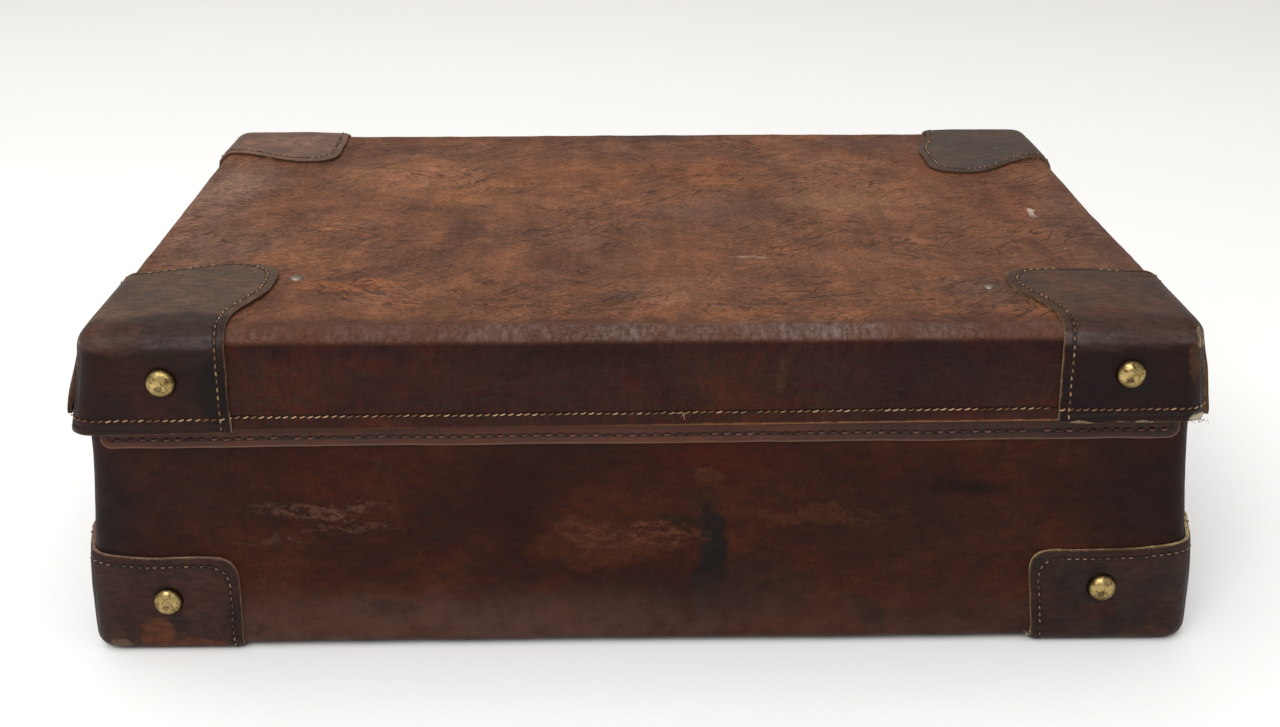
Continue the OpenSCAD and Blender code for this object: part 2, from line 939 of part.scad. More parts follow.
module lid_rivet_burrs() {
    color(steel)
    for (p = lid_rivet_spots)
        translate([p.x, p.y, lid_inside_top - burr_t])
            difference() {
                cylinder(r = lid_rivet_head_r, h = burr_t);
                translate([0, 0, -1]) cylinder(r = rivet_r + shank_gap, h = burr_t + 2);
            }
}

base_shell();
base_bottom_board();
base_front_board();
base_rear_board();
base_side_boards();
rim_frame();
rim_binding();
base_lining();
hinge_strip_base();
base_patch_rear_left();
base_patch_rear_right();
base_patch_front_left();
base_patch_front_right();
base_studs();
base_stud_burrs();
handle_plate_left();
handle_plate_right();
handle_pins();
lock_plate_left();
lock_plate_right();
lock_case_left();
lock_case_right();
front_rivets();
front_burrs();
lid_shell();
lid_board();
lid_lining();
hinge_strip_lid();
lid_patch_rear_left();
lid_patch_rear_right();
lid_patch_front_left();
lid_patch_front_right();
lid_studs();
lid_stud_burrs();
lid_rivets();
lid_rivet_burrs();
hasp_leaf_left();
hasp_leaf_right();
hasp_pin_left();
hasp_pin_right();
leaf_rivets();
leaf_burrs();
handle_grip();
handle_core();
handle_end_left();
handle_end_right();
hasp_left();
hasp_right();
lock_slide_left();
lock_slide_right();
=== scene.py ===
"""Looks of the hard-sided hide case: hides, patches, stitching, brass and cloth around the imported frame."""
import math

import bpy
import numpy as np
from mathutils import Matrix, Vector


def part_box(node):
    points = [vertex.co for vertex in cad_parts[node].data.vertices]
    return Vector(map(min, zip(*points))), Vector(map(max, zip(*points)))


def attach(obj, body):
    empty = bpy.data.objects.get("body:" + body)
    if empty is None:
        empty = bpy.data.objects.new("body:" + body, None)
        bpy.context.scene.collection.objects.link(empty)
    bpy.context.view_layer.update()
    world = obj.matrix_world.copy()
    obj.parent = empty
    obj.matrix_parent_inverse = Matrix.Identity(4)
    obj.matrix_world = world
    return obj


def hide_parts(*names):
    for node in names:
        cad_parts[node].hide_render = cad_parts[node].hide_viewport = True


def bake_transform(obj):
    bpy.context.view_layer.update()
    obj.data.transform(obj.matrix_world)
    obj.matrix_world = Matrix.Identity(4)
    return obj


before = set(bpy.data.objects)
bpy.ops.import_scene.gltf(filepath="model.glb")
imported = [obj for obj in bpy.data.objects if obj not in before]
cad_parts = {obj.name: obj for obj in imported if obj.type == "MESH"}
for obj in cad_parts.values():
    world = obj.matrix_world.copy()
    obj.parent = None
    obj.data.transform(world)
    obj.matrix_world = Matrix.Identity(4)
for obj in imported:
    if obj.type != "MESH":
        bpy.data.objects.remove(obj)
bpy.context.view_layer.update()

MM = 0.001

# ---------------------------------------------------------------- sizes, in metres, from the frame

lid_low, lid_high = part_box("lid_shell")
base_low, base_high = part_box("base_shell")
binding_low, binding_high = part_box("rim_binding")

LID_R = 11 * MM
LID_EDGE_R = 9 * MM
LID_T = 2.8 * MM
BASE_EDGE_R = 6 * MM
BASE_T = 3 * MM
PATCH_T = 2.5 * MM
LID_HALF = np.array([lid_high.x, (lid_high.y - lid_low.y) / 2])
LID_MID = np.array([0.0, (lid_high.y + lid_low.y) / 2])
LID_CORE = LID_HALF - LID_R
BASE_R = 10.5 * MM
BASE_HALF = np.array([base_high.x, (base_high.y - base_low.y) / 2])
BASE_MID = np.array([0.0, (base_high.y + base_low.y) / 2])
BASE_CORE = BASE_HALF - BASE_R
SEAM_Z = lid_low.z
TOP_Z = lid_high.z
REAR_Y = lid_high.y
BASE_REAR_Y = base_high.y
STUD_R = 7.7 * MM
HANDLE_AXIS = np.array([0.0, base_low.y - 13 * MM, 0.100])

# how bright a white surface would be there, and how much plain reflection is added to it
LIGHT_TOP, SHEEN_TOP = 1.05, 0.030
LIGHT_SIDE, SHEEN_SIDE = 1.28, 0.0105

# the sides: +X is the left when the case is seen from its hinge side
LEFT, RIGHT, REAR, FRONT = 1, -1, 1, -1


# ---------------------------------------------------------------- smooth noise

def lattice(ix, iy, iz, seed):
    """A repeatable value from -1 to 1 for each whole-number point."""
    h = ix * 73856093 ^ iy * 19349663 ^ iz * 83492791 ^ seed * 2654435761
    h = (h & 0xFFFFFFFF) * 1274126177 & 0xFFFFFFFF
    h = (h ^ (h >> 15)) * 2246822519 & 0xFFFFFFFF
    h = h ^ (h >> 13)
    return (h & 0xFFFF) / 32767.5 - 1.0


def noise(points, size, seed=0):
    """Smooth noise from about -1 to 1, with features of the given size. size may be one per axis."""
    p = np.asarray(points, float) / np.asarray(size, float)
    whole = np.floor(p).astype(np.int64)
    part = p - whole
    w = part * part * (3 - 2 * part)
    total = np.zeros(len(p))
    for dx in (0, 1):
        wx = w[:, 0] if dx else 1 - w[:, 0]
        for dy in (0, 1):
            wy = w[:, 1] if dy else 1 - w[:, 1]
            for dz in (0, 1):
                wz = w[:, 2] if dz else 1 - w[:, 2]
                value = lattice(whole[:, 0] + dx, whole[:, 1] + dy, whole[:, 2] + dz, seed)
                total += wx * wy * wz * value
    return total


def layered(points, size, seed=0, layers=3):
    """Noise with finer layers added, each half as strong."""
    size = np.asarray(size, float)
    return sum(noise(points, size / 2 ** k, seed + 17 * k) / 2 ** k for k in range(layers))


def ease(value, low, high):
    """0 below low, 1 above high, smooth between. high may be the smaller one."""
    t = np.clip((value - low) / (high - low), 0, 1)
    return t * t * (3 - 2 * t)


def soft_min(a, b, k):
    """The smaller of two, rounded over a width k where they meet."""
    h = np.clip(0.5 + 0.5 * (b - a) / k, 0, 1)
    return b * (1 - h) + a * h - k * h * (1 - h)


# ---------------------------------------------------------------- how the old case has settled

def lid_settled(points):
    """Moves points on the lid as age has: crowned top, splayed sides, hinge-side edge out of level."""
    p = np.array(points, float)
    up = (p[:, 2] - SEAM_Z) / (TOP_Z - SEAM_Z)
    rear = ease(p[:, 1], -0.05, 0.12)
    rise = (0.8 - 1.7 * p[:, 0] / LID_HALF[0]) * MM * rear
    inside = 1 - (p[:, 0] / LID_HALF[0]) ** 2
    crown = (1.5 + 0.6 * inside) * MM + 0.5 * MM * noise(p, 0.13, 3)
    crown += 1.2 * MM * ease(np.abs(p[:, 0]), 0.19, 0.23) * ease(p[:, 1], -0.10, -0.15)
    p[:, 2] += rise * np.clip(1 - up, 0, 1) + crown * ease(up, 0.35, 1)
    left = p[:, 0] > 0
    near = ease(p[:, 1], -0.15, 0.19)
    high = np.where(left, -1.2 - 2.9 * near, -0.8 - 1.6 * near)
    low = np.where(left, 3.2 + 1.8 * near, 2.6)
    splay = (high + (low - high) * np.clip(1 - up, 0, 1) ** 1.4) * MM
    wall = ease(np.abs(p[:, 0]), 0.255, LID_HALF[0])
    p[:, 0] += np.sign(p[:, 0]) * wall * (splay + 0.6 * MM * noise(p, 0.09, 5))
    p[:, 1] += ease(p[:, 1], 0.15, REAR_Y) * 0.6 * MM * noise(p, 0.11, 7)
    return p


def base_settled(points):
    """Moves points on the base: its sides bulge outwards below the lid, and its walls are a little uneven."""
    p = np.array(points, float)
    side = ease(np.abs(p[:, 0]), 0.243, BASE_HALF[0])
    most = np.where(p[:, 0] > 0, 5.8 * MM, 7.2 * MM)
    flare = 3.6 * MM * ease(p[:, 2], 0.140, 0.125) + most * ease(p[:, 2], 0.125, 0.030)
    wall = ease(SEAM_Z - p[:, 2], 0, 0.03)
    p[:, 0] += np.sign(p[:, 0]) * side * (flare + wall * 0.5 * MM * noise(p, 0.07, 9))
    rear = ease(p[:, 1], 0.15, BASE_REAR_Y)
    p[:, 1] += rear * wall * (0.5 * MM * noise(p, 0.10, 11) + 0.6 * MM * ease(p[:, 2], SEAM_Z, 0.030))
    return p


# ---------------------------------------------------------------- surfaces

def box_ring(core, nx, ny, arc):
    """Core points and outward directions of a round-cornered ring, from the middle of the +X +Y corner."""
    points, normals = [], []

    def turn(sx, sy, start, stop, count):
        for i in range(count):
            a = math.radians(start + (stop - start) * i / count)
            points.append((sx * core[0], sy * core[1]))
            normals.append((math.cos(a), math.sin(a)))

    def run(start, stop, normal, count):
        for i in range(count):
            t = i / count
            points.append((start[0] + (stop[0] - start[0]) * t, start[1] + (stop[1] - start[1]) * t))
            normals.append(normal)

    cx, cy = core
    turn(1, 1, 45, 90, arc // 2)
    run((cx, cy), (-cx, cy), (0, 1), nx)
    turn(-1, 1, 90, 180, arc)
    run((-cx, cy), (-cx, -cy), (-1, 0), ny)
    turn(-1, -1, 180, 270, arc)
    run((-cx, -cy), (cx, -cy), (0, -1), nx)
    turn(1, -1, 270, 360, arc)
    run((cx, -cy), (cx, cy), (1, 0), ny)
    turn(1, 1, 0, 45, arc // 2)
    return np.array(points), np.array(normals)


def stacked_rings(ring, mid, profile):
    """Rings at each (distance from the core, height) of the profile, one after the other."""
    core, out = ring
    rows = []
    for radius, z in profile:
        xy = core + out * radius + mid
        rows.append(np.column_stack([xy, np.full(len(xy), z)]))
    return np.concatenate(rows)


def ring_faces(count, rows, closed=True):
    """Quads between rows of count points each."""
    i = np.arange(count if closed else count - 1)
    j = (i + 1) % count
    faces = [np.column_stack([r * count + i, r * count + j, (r + 1) * count + j, (r + 1) * count + i])
             for r in range(rows - 1)]
    return np.concatenate(faces)


def filled_grid(a_to_b, b_to_c, d_to_c, a_to_d):
    """Points that fill a four-sided outline smoothly, as rows from A-B to D-C."""
    n, m = len(a_to_b), len(a_to_d)
    u = np.linspace(0, 1, n)[None, :, None]
    v = np.linspace(0, 1, m)[:, None, None]
    a, b, c, d = a_to_b[0], a_to_b[-1], d_to_c[-1], d_to_c[0]
    grid = ((1 - v) * a_to_b[None] + v * d_to_c[None] + (1 - u) * a_to_d[:, None] + u * b_to_c[:, None]
            - (1 - u) * (1 - v) * a - u * (1 - v) * b - u * v * c - (1 - u) * v * d)
    return grid


def cap(points, first, counts, flip):
    """A grid of quads that closes the ring of points from index first. counts is segments by X and Y."""
    nx, ny = counts
    n = 2 * (nx + ny)
    ids = first + np.arange(n + 1) % n
    side_a, side_b = ids[:nx + 1], ids[nx:nx + ny + 1]
    side_c, side_d = ids[nx + ny:2 * nx + ny + 1][::-1], ids[2 * nx + ny:][::-1]
    grid = filled_grid(points[side_a], points[side_b], points[side_c], points[side_d])
    index = np.zeros((ny + 1, nx + 1), np.int64)
    inner = grid[1:-1, 1:-1].reshape(-1, 3)
    index[1:-1, 1:-1] = len(points) + np.arange(len(inner)).reshape(ny - 1, nx - 1)
    index[0], index[-1], index[:, 0], index[:, -1] = side_a, side_c, side_d, side_b
    quads = np.stack([index[:-1, :-1], index[:-1, 1:], index[1:, 1:], index[1:, :-1]], -1).reshape(-1, 4)
    return np.concatenate([points, inner]), quads[:, ::-1] if flip else quads


def fan(points, first, count, flip):
    """A flat fan that closes a ring which nothing shows."""
    centre = points[first:first + count].mean(0)
    i = first + np.arange(count)
    j = first + (np.arange(count) + 1) % count
    tris = np.column_stack([i, j, np.full(count, len(points))])
    return np.concatenate([points, centre[None]]), tris[:, ::-1] if flip else tris


def normals_of(points, quads, tris=None):
    """Smooth vertex normals."""
    total = np.zeros_like(points)
    for faces in (quads, tris):
        if faces is None or not len(faces):
            continue
        a, b, c = points[faces[:, 0]], points[faces[:, 1]], points[faces[:, -1]]
        n = np.cross(b - a, c - a)
        if faces.shape[1] == 4:
            d = points[faces[:, 2]]
            n += np.cross(points[faces[:, 3]] - d, b - d)
        for k in range(faces.shape[1]):
            np.add.at(total, faces[:, k], n)
    return total / np.maximum(np.linalg.norm(total, axis=1, keepdims=True), 1e-12)


def mesh_piece(name, points, faces, materials, face_materials=None, values=None, sharp=60):
    """A mesh object from points and faces, with point attributes from values."""
    mesh = bpy.data.meshes.new(name)
    mesh.from_pydata([tuple(p) for p in points], [], [tuple(int(i) for i in f) for f in faces])
    for material in materials:
        mesh.materials.append(material)
    if face_materials is not None:
        mesh.polygons.foreach_set("material_index", np.asarray(face_materials, np.int32))
    for key, value in (values or {}).items():
        mesh.attributes.new(key, "FLOAT", "POINT").data.foreach_set("value", np.asarray(value, np.float32))
    mesh.polygons.foreach_set("use_smooth", np.ones(len(mesh.polygons), bool))
    mesh.set_sharp_from_angle(angle=math.radians(sharp))
    mesh.validate()
    piece = bpy.data.objects.new(name, mesh)
    bpy.context.scene.collection.objects.link(piece)
    return piece


# ---------------------------------------------------------------- cut hides: a sheet trimmed to an outline

def trim(points, faces, field, carried):
    """The part of a surface where field is above 0, cut along field = 0.

    carried holds other values per point. Returns points, faces, carried values and the cut's edges.
    """
    points, field = list(map(np.array, points)), list(field)
    carried = {k: list(v) for k, v in carried.items()}
    cuts, kept, edges = {}, [], []

    def cut(i, j):
        key = (min(i, j), max(i, j))
        if key not in cuts:
            t = field[i] / (field[i] - field[j])
            points.append(points[i] * (1 - t) + points[j] * t)
            field.append(0.0)
            for v in carried.values():
                v.append(v[i] * (1 - t) + v[j] * t)
            cuts[key] = len(points) - 1
        return cuts[key]

    for face in faces:
        inside = [field[i] > 0 for i in face]
        if all(inside):
            kept.append([int(i) for i in face])
            continue
        if not any(inside):
            continue
        ring, marks = [], []
        for k, i in enumerate(face):
            j = face[(k + 1) % len(face)]
            if inside[k]:
                ring.append(int(i))
            if inside[k] != inside[(k + 1) % len(face)]:
                c = cut(int(i), int(j))
                ring.append(c)
                marks.append((len(ring) - 1, inside[k]))
        if len(marks) == 2:
            leaving = next(m for m, out in marks if out)
            entering = next(m for m, out in marks if not out)
            edges.append((ring[leaving], ring[entering]))
            kept.append(ring)
    used = sorted({i for f in kept for i in f})
    remap = {old: new for new, old in enumerate(used)}
    faces = [[remap[i] for i in f] for f in kept]
    edges = [(remap[a], remap[b]) for a, b in edges]
    return (np.array([points[i] for i in used]), faces,
            {k: np.array([v[i] for i in used]) for k, v in carried.items()}, edges)


def slab(name, points, faces, edges, outward, high, low, rim, materials):
    """A closed sheet of hide: outer face raised by high, inner by low, cut edges in the second material."""
    n = len(points)
    outer = points + outward * high[:, None]
    inner = points + outward * low[:, None]
    border = sorted({i for e in edges for i in e})
    middle = {b: 2 * n + k for k, b in enumerate(border)}
    mids = (outer[border] + inner[border]) / 2
    all_points = np.concatenate([outer, inner, mids])
    all_faces = [list(f) for f in faces] + [[i + n for i in reversed(f)] for f in faces]
    kinds = [0] * len(faces) + [1] * len(faces)
    for a, b in edges:
        all_faces.append([b, a, middle[a], middle[b]])
        all_faces.append([middle[b], middle[a], a + n, b + n])
        kinds += [1, 1]
    rims = np.concatenate([rim, rim, np.zeros(len(border))])
    return mesh_piece(name, all_points, all_faces, materials, kinds, {"rim": rims}, sharp=42)


def contour(points, faces, field, level):
    """The lines on a surface where field equals level, each as a list of (i, j, t) steps along face edges."""
    links = {}
    for face in faces:
        hits = []
        for k, i in enumerate(face):
            j = face[(k + 1) % len(face)]
            a, b = field[i] - level, field[j] - level
            if (a > 0) != (b > 0):
                hits.append((min(i, j), max(i, j)))
        if len(hits) == 2:
            links.setdefault(hits[0], []).append(hits[1])
            links.setdefault(hits[1], []).append(hits[0])
    lines, seen = [], set()
    ends = [k for k, v in links.items() if len(v) == 1]
    for start in ends + sorted(links):
        if start in seen:
            continue
        line, at, before = [], start, None
        while at is not None and at not in seen:
            seen.add(at)
            line.append(at)
            onward = [x for x in links[at] if x != before and x not in seen]
            before, at = at, (onward[0] if onward else None)
        lines.append(line)
    found = []
    for line in lines:
        if len(line) > 3:
            i = np.array([k[0] for k in line])
            j = np.array([k[1] for k in line])
            t = (level - field[i]) / (field[j] - field[i])
            found.append((i, j, t))
    return found


# ---------------------------------------------------------------- stitching

def tube(start, rings, sides, first_closed=True):
    """Faces of a tube whose rings of points follow each other from index start, with its ends closed."""
    faces = [tuple(f) for f in start + ring_faces(sides, rings)]
    if first_closed:
        faces.append(tuple(start + q for q in reversed(range(sides))))
    faces.append(tuple(start + (rings - 1) * sides + q for q in range(sides)))
    return faces


def thread_run(points, normals, pitch, length, thick, slant=0.0, lift=0.45, seed=0, skip=(), hole=0.55 * MM):
    """Stitches at an even pitch along a line of points: positions and faces of small bowed threads."""
    steps = np.linalg.norm(np.diff(points, axis=0), axis=1)
    travel = np.concatenate([[0], np.cumsum(steps)])
    count = int(travel[-1] / pitch)
    rings, sides, hole_sides = 5, 6, 8
    all_points, all_faces, tones = [], [], []
    rng = np.random.default_rng(seed)
    for k in range(count):
        s = (k + 0.5) * pitch + rng.uniform(-0.05, 0.05) * pitch
        drop = rng.random()
        wander = rng.normal(0, 0.10 * thick)
        tone = rng.random()
        if any(a <= s <= b for a, b in skip) or drop < 0.015:
            continue
        here = np.array([np.interp(s, travel, points[:, a]) for a in range(3)])
        ahead = np.array([np.interp(s + pitch / 2, travel, points[:, a]) for a in range(3)])
        behind = np.array([np.interp(s - pitch / 2, travel, points[:, a]) for a in range(3)])
        up = np.array([np.interp(s, travel, normals[:, a]) for a in range(3)])
        up /= np.linalg.norm(up)
        along = ahead - behind
        along -= up * along.dot(up)
        if np.linalg.norm(along) < 1e-9:
            continue
        along /= np.linalg.norm(along)
        across = np.cross(up, along)
        turned = along * math.cos(slant) + across * math.sin(slant)
        cross = np.cross(up, turned)
        first = len(all_points)
        for r in range(rings):
            t = r / (rings - 1)
            bow = math.sin(math.pi * t)
            centre = (here + across * wander + turned * (t - 0.5) * length
                      + up * (thick * (lift + 0.1 * tone) * bow - thick * 0.55 * (1 - bow)))
            width = thick / 2 * (0.62 + 0.38 * bow)
            for q in range(sides):
                a = 2 * math.pi * q / sides
                all_points.append(centre + cross * math.cos(a) * width + up * math.sin(a) * width * 0.85)
        all_faces += tube(first, rings, sides)
        tones += [0.1 + 0.9 * tone] * (rings * sides)
        # a dark disc beside the end of this stitch, painted shade that stands for its needle hole
        first = len(all_points)
        centre = here + turned * 0.5 * length + across * hole * 0.5 + up * 0.10 * MM
        for ring, rise in ((1.0, 0.0), (0.55, 0.06)):
            for q in range(hole_sides):
                a = 2 * math.pi * q / hole_sides
                all_points.append(centre + along * math.cos(a) * hole * ring * 1.25
                                  + across * math.sin(a) * hole * ring * 0.8 + up * rise * MM)
        all_faces += tube(first, 2, hole_sides)
        tones += [0.0] * (2 * hole_sides)
    return all_points, all_faces, tones


def stitch_piece(name, runs, material, body):
    """One mesh of all the given thread runs."""
    points, faces, tones = [], [], []
    for run_points, run_faces, run_tones in runs:
        start = len(points)
        points += run_points
        faces += [tuple(i + start for i in f) for f in run_faces]
        tones += run_tones
    piece = mesh_piece(name, points, faces, [material], values={"tone": tones}, sharp=80)
    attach(piece, body)
    return piece


# ---------------------------------------------------------------- materials

def lit(red, green, blue):
    """The hide colour that looks like this on the lid's top, where the light and the sheen are strongest."""
    return tuple(max(0.002, (c - SHEEN_TOP) / LIGHT_TOP) for c in (red, green, blue))


def lit_side(red, green, blue):
    """The hide colour that looks like this on an upright side."""
    return tuple(max(0.0012, (c - SHEEN_SIDE) / LIGHT_SIDE) for c in (red, green, blue))


class Shader:
    """A node material with short calls for the nodes that these finishes use."""

    def __init__(self, name):
        self.material = bpy.data.materials.new(name)
        self.material.use_nodes = True
        self.nodes = self.material.node_tree.nodes
        self.links = self.material.node_tree.links
        self.nodes.clear()
        self.out = self.nodes.new("ShaderNodeOutputMaterial")
        self.body = self.nodes.new("ShaderNodeBsdfPrincipled")
        self.links.new(self.body.outputs[0], self.out.inputs[0])

    def put(self, socket, value):
        """Links a socket's value in, or sets a constant on the socket."""
        if isinstance(value, bpy.types.NodeSocket):
            self.links.new(value, socket)
        elif isinstance(value, (tuple, list)) and len(value) == 3 and socket.type == "RGBA":
            socket.default_value = (*value, 1)
        else:
            socket.default_value = value

    def node(self, kind, outputs=0, settings=None, **inputs):
        """A new node's output. Inputs go by name, with _ for a space, or by number as i0, i1 and so on."""
        made = self.nodes.new("ShaderNode" + kind)
        for key, value in (settings or {}).items():
            setattr(made, key, value)
        for key, value in inputs.items():
            numbered = key[0] == "i" and key[1:].isdigit()
            self.put(made.inputs[int(key[1:]) if numbered else key.replace("_", " ")], value)
        return made.outputs[outputs]

    def place(self):
        """The point's place in the part's own frame, in metres."""
        return self.node("TexCoord", outputs="Object")

    def value(self, name):
        """A value that the mesh carries at its points."""
        return self.node("Attribute", outputs="Fac", settings={"attribute_name": name})

    def scaled(self, vector, scale, turn=0.0):
        """The vector turned about Z and scaled, to draw noise out along an axis."""
        return self.node("Mapping", i0=vector, i2=(0, 0, turn), i3=scale)

    def noise(self, vector, size, detail=3.0, rough=0.55, twist=0.0, outputs="Fac"):
        """Noise with features of the given size, from about 0.2 to 0.8."""
        return self.node("TexNoise", outputs=outputs, Vector=vector, Scale=1 / size, Detail=detail,
                         Roughness=rough, Distortion=twist)

    def cells(self, vector, size):
        """The distance to the nearest border between irregular cells."""
        return self.node("TexVoronoi", settings={"feature": "DISTANCE_TO_EDGE"},
                         Vector=vector, Scale=1 / size, Randomness=1.0)

    def math(self, kind, a, b=0.0, c=0.0):
        """A Math node of the given operation."""
        return self.node("Math", settings={"operation": kind}, i0=a, i1=b, i2=c)

    def times(self, a, b):
        return self.math("MULTIPLY", a, b)

    def ease(self, value, low, high, to_low=0.0, to_high=1.0):
        """to_low below low, to_high above high, smooth between. high may be the smaller one."""
        return self.node("MapRange", settings={"interpolation_type": "SMOOTHSTEP"},
                         i0=value, i1=low, i2=high, i3=to_low, i4=to_high)

    def mix(self, a, b, share, blend="MIX"):
        """Colour a with a share of colour b."""
        made = self.nodes.new("ShaderNodeMix")
        made.data_type = "RGBA"
        made.blend_type = blend
        made.clamp_factor = True
        self.put(made.inputs[0], share)
        self.put(made.inputs[6], a)
        self.put(made.inputs[7], b)
        return made.outputs[2]

    def ramp(self, value, stops):
        """The colour at value between stops of (place, colour)."""
        made = self.nodes.new("ShaderNodeValToRGB")
        bar = made.color_ramp.elements
        while len(bar) < len(stops):
            bar.new(0.5)
        for element, (place, colour) in zip(bar, stops):
            element.position = place
            element.color = (*colour, 1)
        self.links.new(value, made.inputs[0])
        return made.outputs[0]

    def shade(self, colour, value, low, high, dark, light):
        """The colour made darker to lighter as value goes from low to high."""
        grey = self.ease(value, low, high, dark, light)
        return self.mix(colour, self.node("CombineColor", i0=grey, i1=grey, i2=grey), 1.0, blend="MULTIPLY")

    def warped(self, vector, size, amount, detail=2.0):
        """The vector shifted by noise of the given size, by up to about amount."""
        colour = self.noise(vector, size, detail=detail, outputs="Color")
        shift = self.node("VectorMath", settings={"operation": "SUBTRACT"}, i0=colour, i1=(0.5, 0.5, 0.5))
        shift = self.node("VectorMath", settings={"operation": "SCALE"}, i0=shift, Scale=2 * amount)
        return self.node("VectorMath", settings={"operation": "ADD"}, i0=vector, i1=shift)

    def blot(self, vector, centre, reach, turn=0.0, hard=0.35):
        """1 inside an oval patch and 0 outside it. reach is its half size along each axis, turned about Z."""
        local = self.node("Mapping", settings={"vector_type": "TEXTURE"}, i0=vector, i1=centre,
                          i2=(0, 0, turn), i3=reach)
        far = self.node("VectorMath", outputs="Value", settings={"operation": "LENGTH"}, i0=local)
        return self.ease(far, 1.0, hard)

    def stained(self, colour, vector, stains, hard, cover=1.0):
        """The colour with stains over it where cover is 1."""
        for centre, reach, turn, tint, strength in stains:
            mask = self.blot(vector, centre, reach, turn, hard)
            colour = self.mix(colour, tint, self.times(self.times(mask, cover), strength))
        return colour

    def bump(self, height, distance, strength):
        """The normal of a surface raised by height times distance."""
        return self.node("Bump", Strength=strength, Distance=distance, Height=height)

    def finish(self, colour, rough, normal, **constants):
        """The material with its colour, roughness, bump and constant settings."""
        self.put(self.body.inputs["Base Color"], colour)
        self.put(self.body.inputs["Roughness"], rough)
        self.links.new(normal, self.body.inputs["Normal"])
        for key, value in constants.items():
            self.body.inputs[key.replace("_", " ")].default_value = value
        return self.material


def crease_lines(s, place, turn, along, across, width):
    """1 on long thin creases that run at an angle to X, with the given size along and across them."""
    local = s.node("Mapping", settings={"vector_type": "TEXTURE"}, i0=place, i2=(0, 0, turn),
                   i3=(along, across, across))
    line = s.noise(local, 1.0, detail=2.0, rough=0.5, twist=0.25)
    return s.ease(s.math("ABSOLUTE", s.math("SUBTRACT", line, 0.5)), 0.0, width, 1, 0)


def patchy(s, place, size, low, high, shift):
    """1 in some areas and 0 in others, with soft edges."""
    moved = s.node("VectorMath", settings={"operation": "ADD"}, i0=place, i1=shift)
    return s.ease(s.noise(moved, size, detail=2), low, high)


def leather_relief(s, place, crease=1.0, size=1.0, lines=1.0):
    """Creases and grain of old hide: (crease mask, height, grain)."""
    warp = s.warped(place, 0.035 * size, 0.006 * size)
    warp = s.warped(warp, 0.006 * size, 0.0011 * size)
    rising = crease_lines(s, warp, 0.75, 0.050 * size, 0.0095 * size, 0.030)
    falling = crease_lines(s, warp, -0.62, 0.045 * size, 0.0105 * size, 0.028)
    level = crease_lines(s, warp, 0.05, 0.060 * size, 0.0080 * size, 0.026)
    small = crease_lines(s, warp, 0.30, 0.012 * size, 0.0036 * size, 0.045)
    pebble = s.ease(s.cells(s.scaled(warp, (0.50, 1.25, 1.0)), 0.0030 * size), 0.02, 0.20, 1, 0)
    crackle = s.ease(s.cells(s.scaled(warp, (0.55, 1.0, 0.8), 0.3), 0.0016 * size), 0.02, 0.24, 1, 0)
    crackle = s.times(crackle, patchy(s, place, 0.018, 0.34, 0.60, (0.2, 0.6, 0.1)))
    rising = s.times(rising, patchy(s, place, 0.06, 0.38, 0.60, (0.3, 0.1, 0.0)))
    falling = s.times(falling, patchy(s, place, 0.06, 0.44, 0.66, (0.7, 0.5, 0.2)))
    level = s.times(level, patchy(s, place, 0.05, 0.40, 0.62, (0.1, 0.8, 0.4)))
    level = s.times(level, lines)
    small = s.times(small, patchy(s, place, 0.04, 0.36, 0.62, (0.5, 0.3, 0.9)))
    pebble = s.times(pebble, patchy(s, place, 0.03, 0.32, 0.66, (0.9, 0.2, 0.6)))
    creases = s.math("MAXIMUM", s.math("MAXIMUM", rising, falling), level)
    creases = s.math("MAXIMUM", creases, s.times(small, 0.6))
    creases = s.math("MAXIMUM", creases, s.times(pebble, 0.62))
    creases = s.math("MAXIMUM", creases, s.times(crackle, 0.40))
    creases = s.times(creases, crease)
    grain = s.noise(place, 0.0013 * size, detail=4, rough=0.65)
    lumps = s.noise(place, 0.0052 * size, detail=3, rough=0.6)
    height = s.math("MULTIPLY_ADD", lumps, 0.9, s.times(grain, 0.32))
    height = s.math("MULTIPLY_ADD", creases, -0.75, height)
    return creases, height, grain


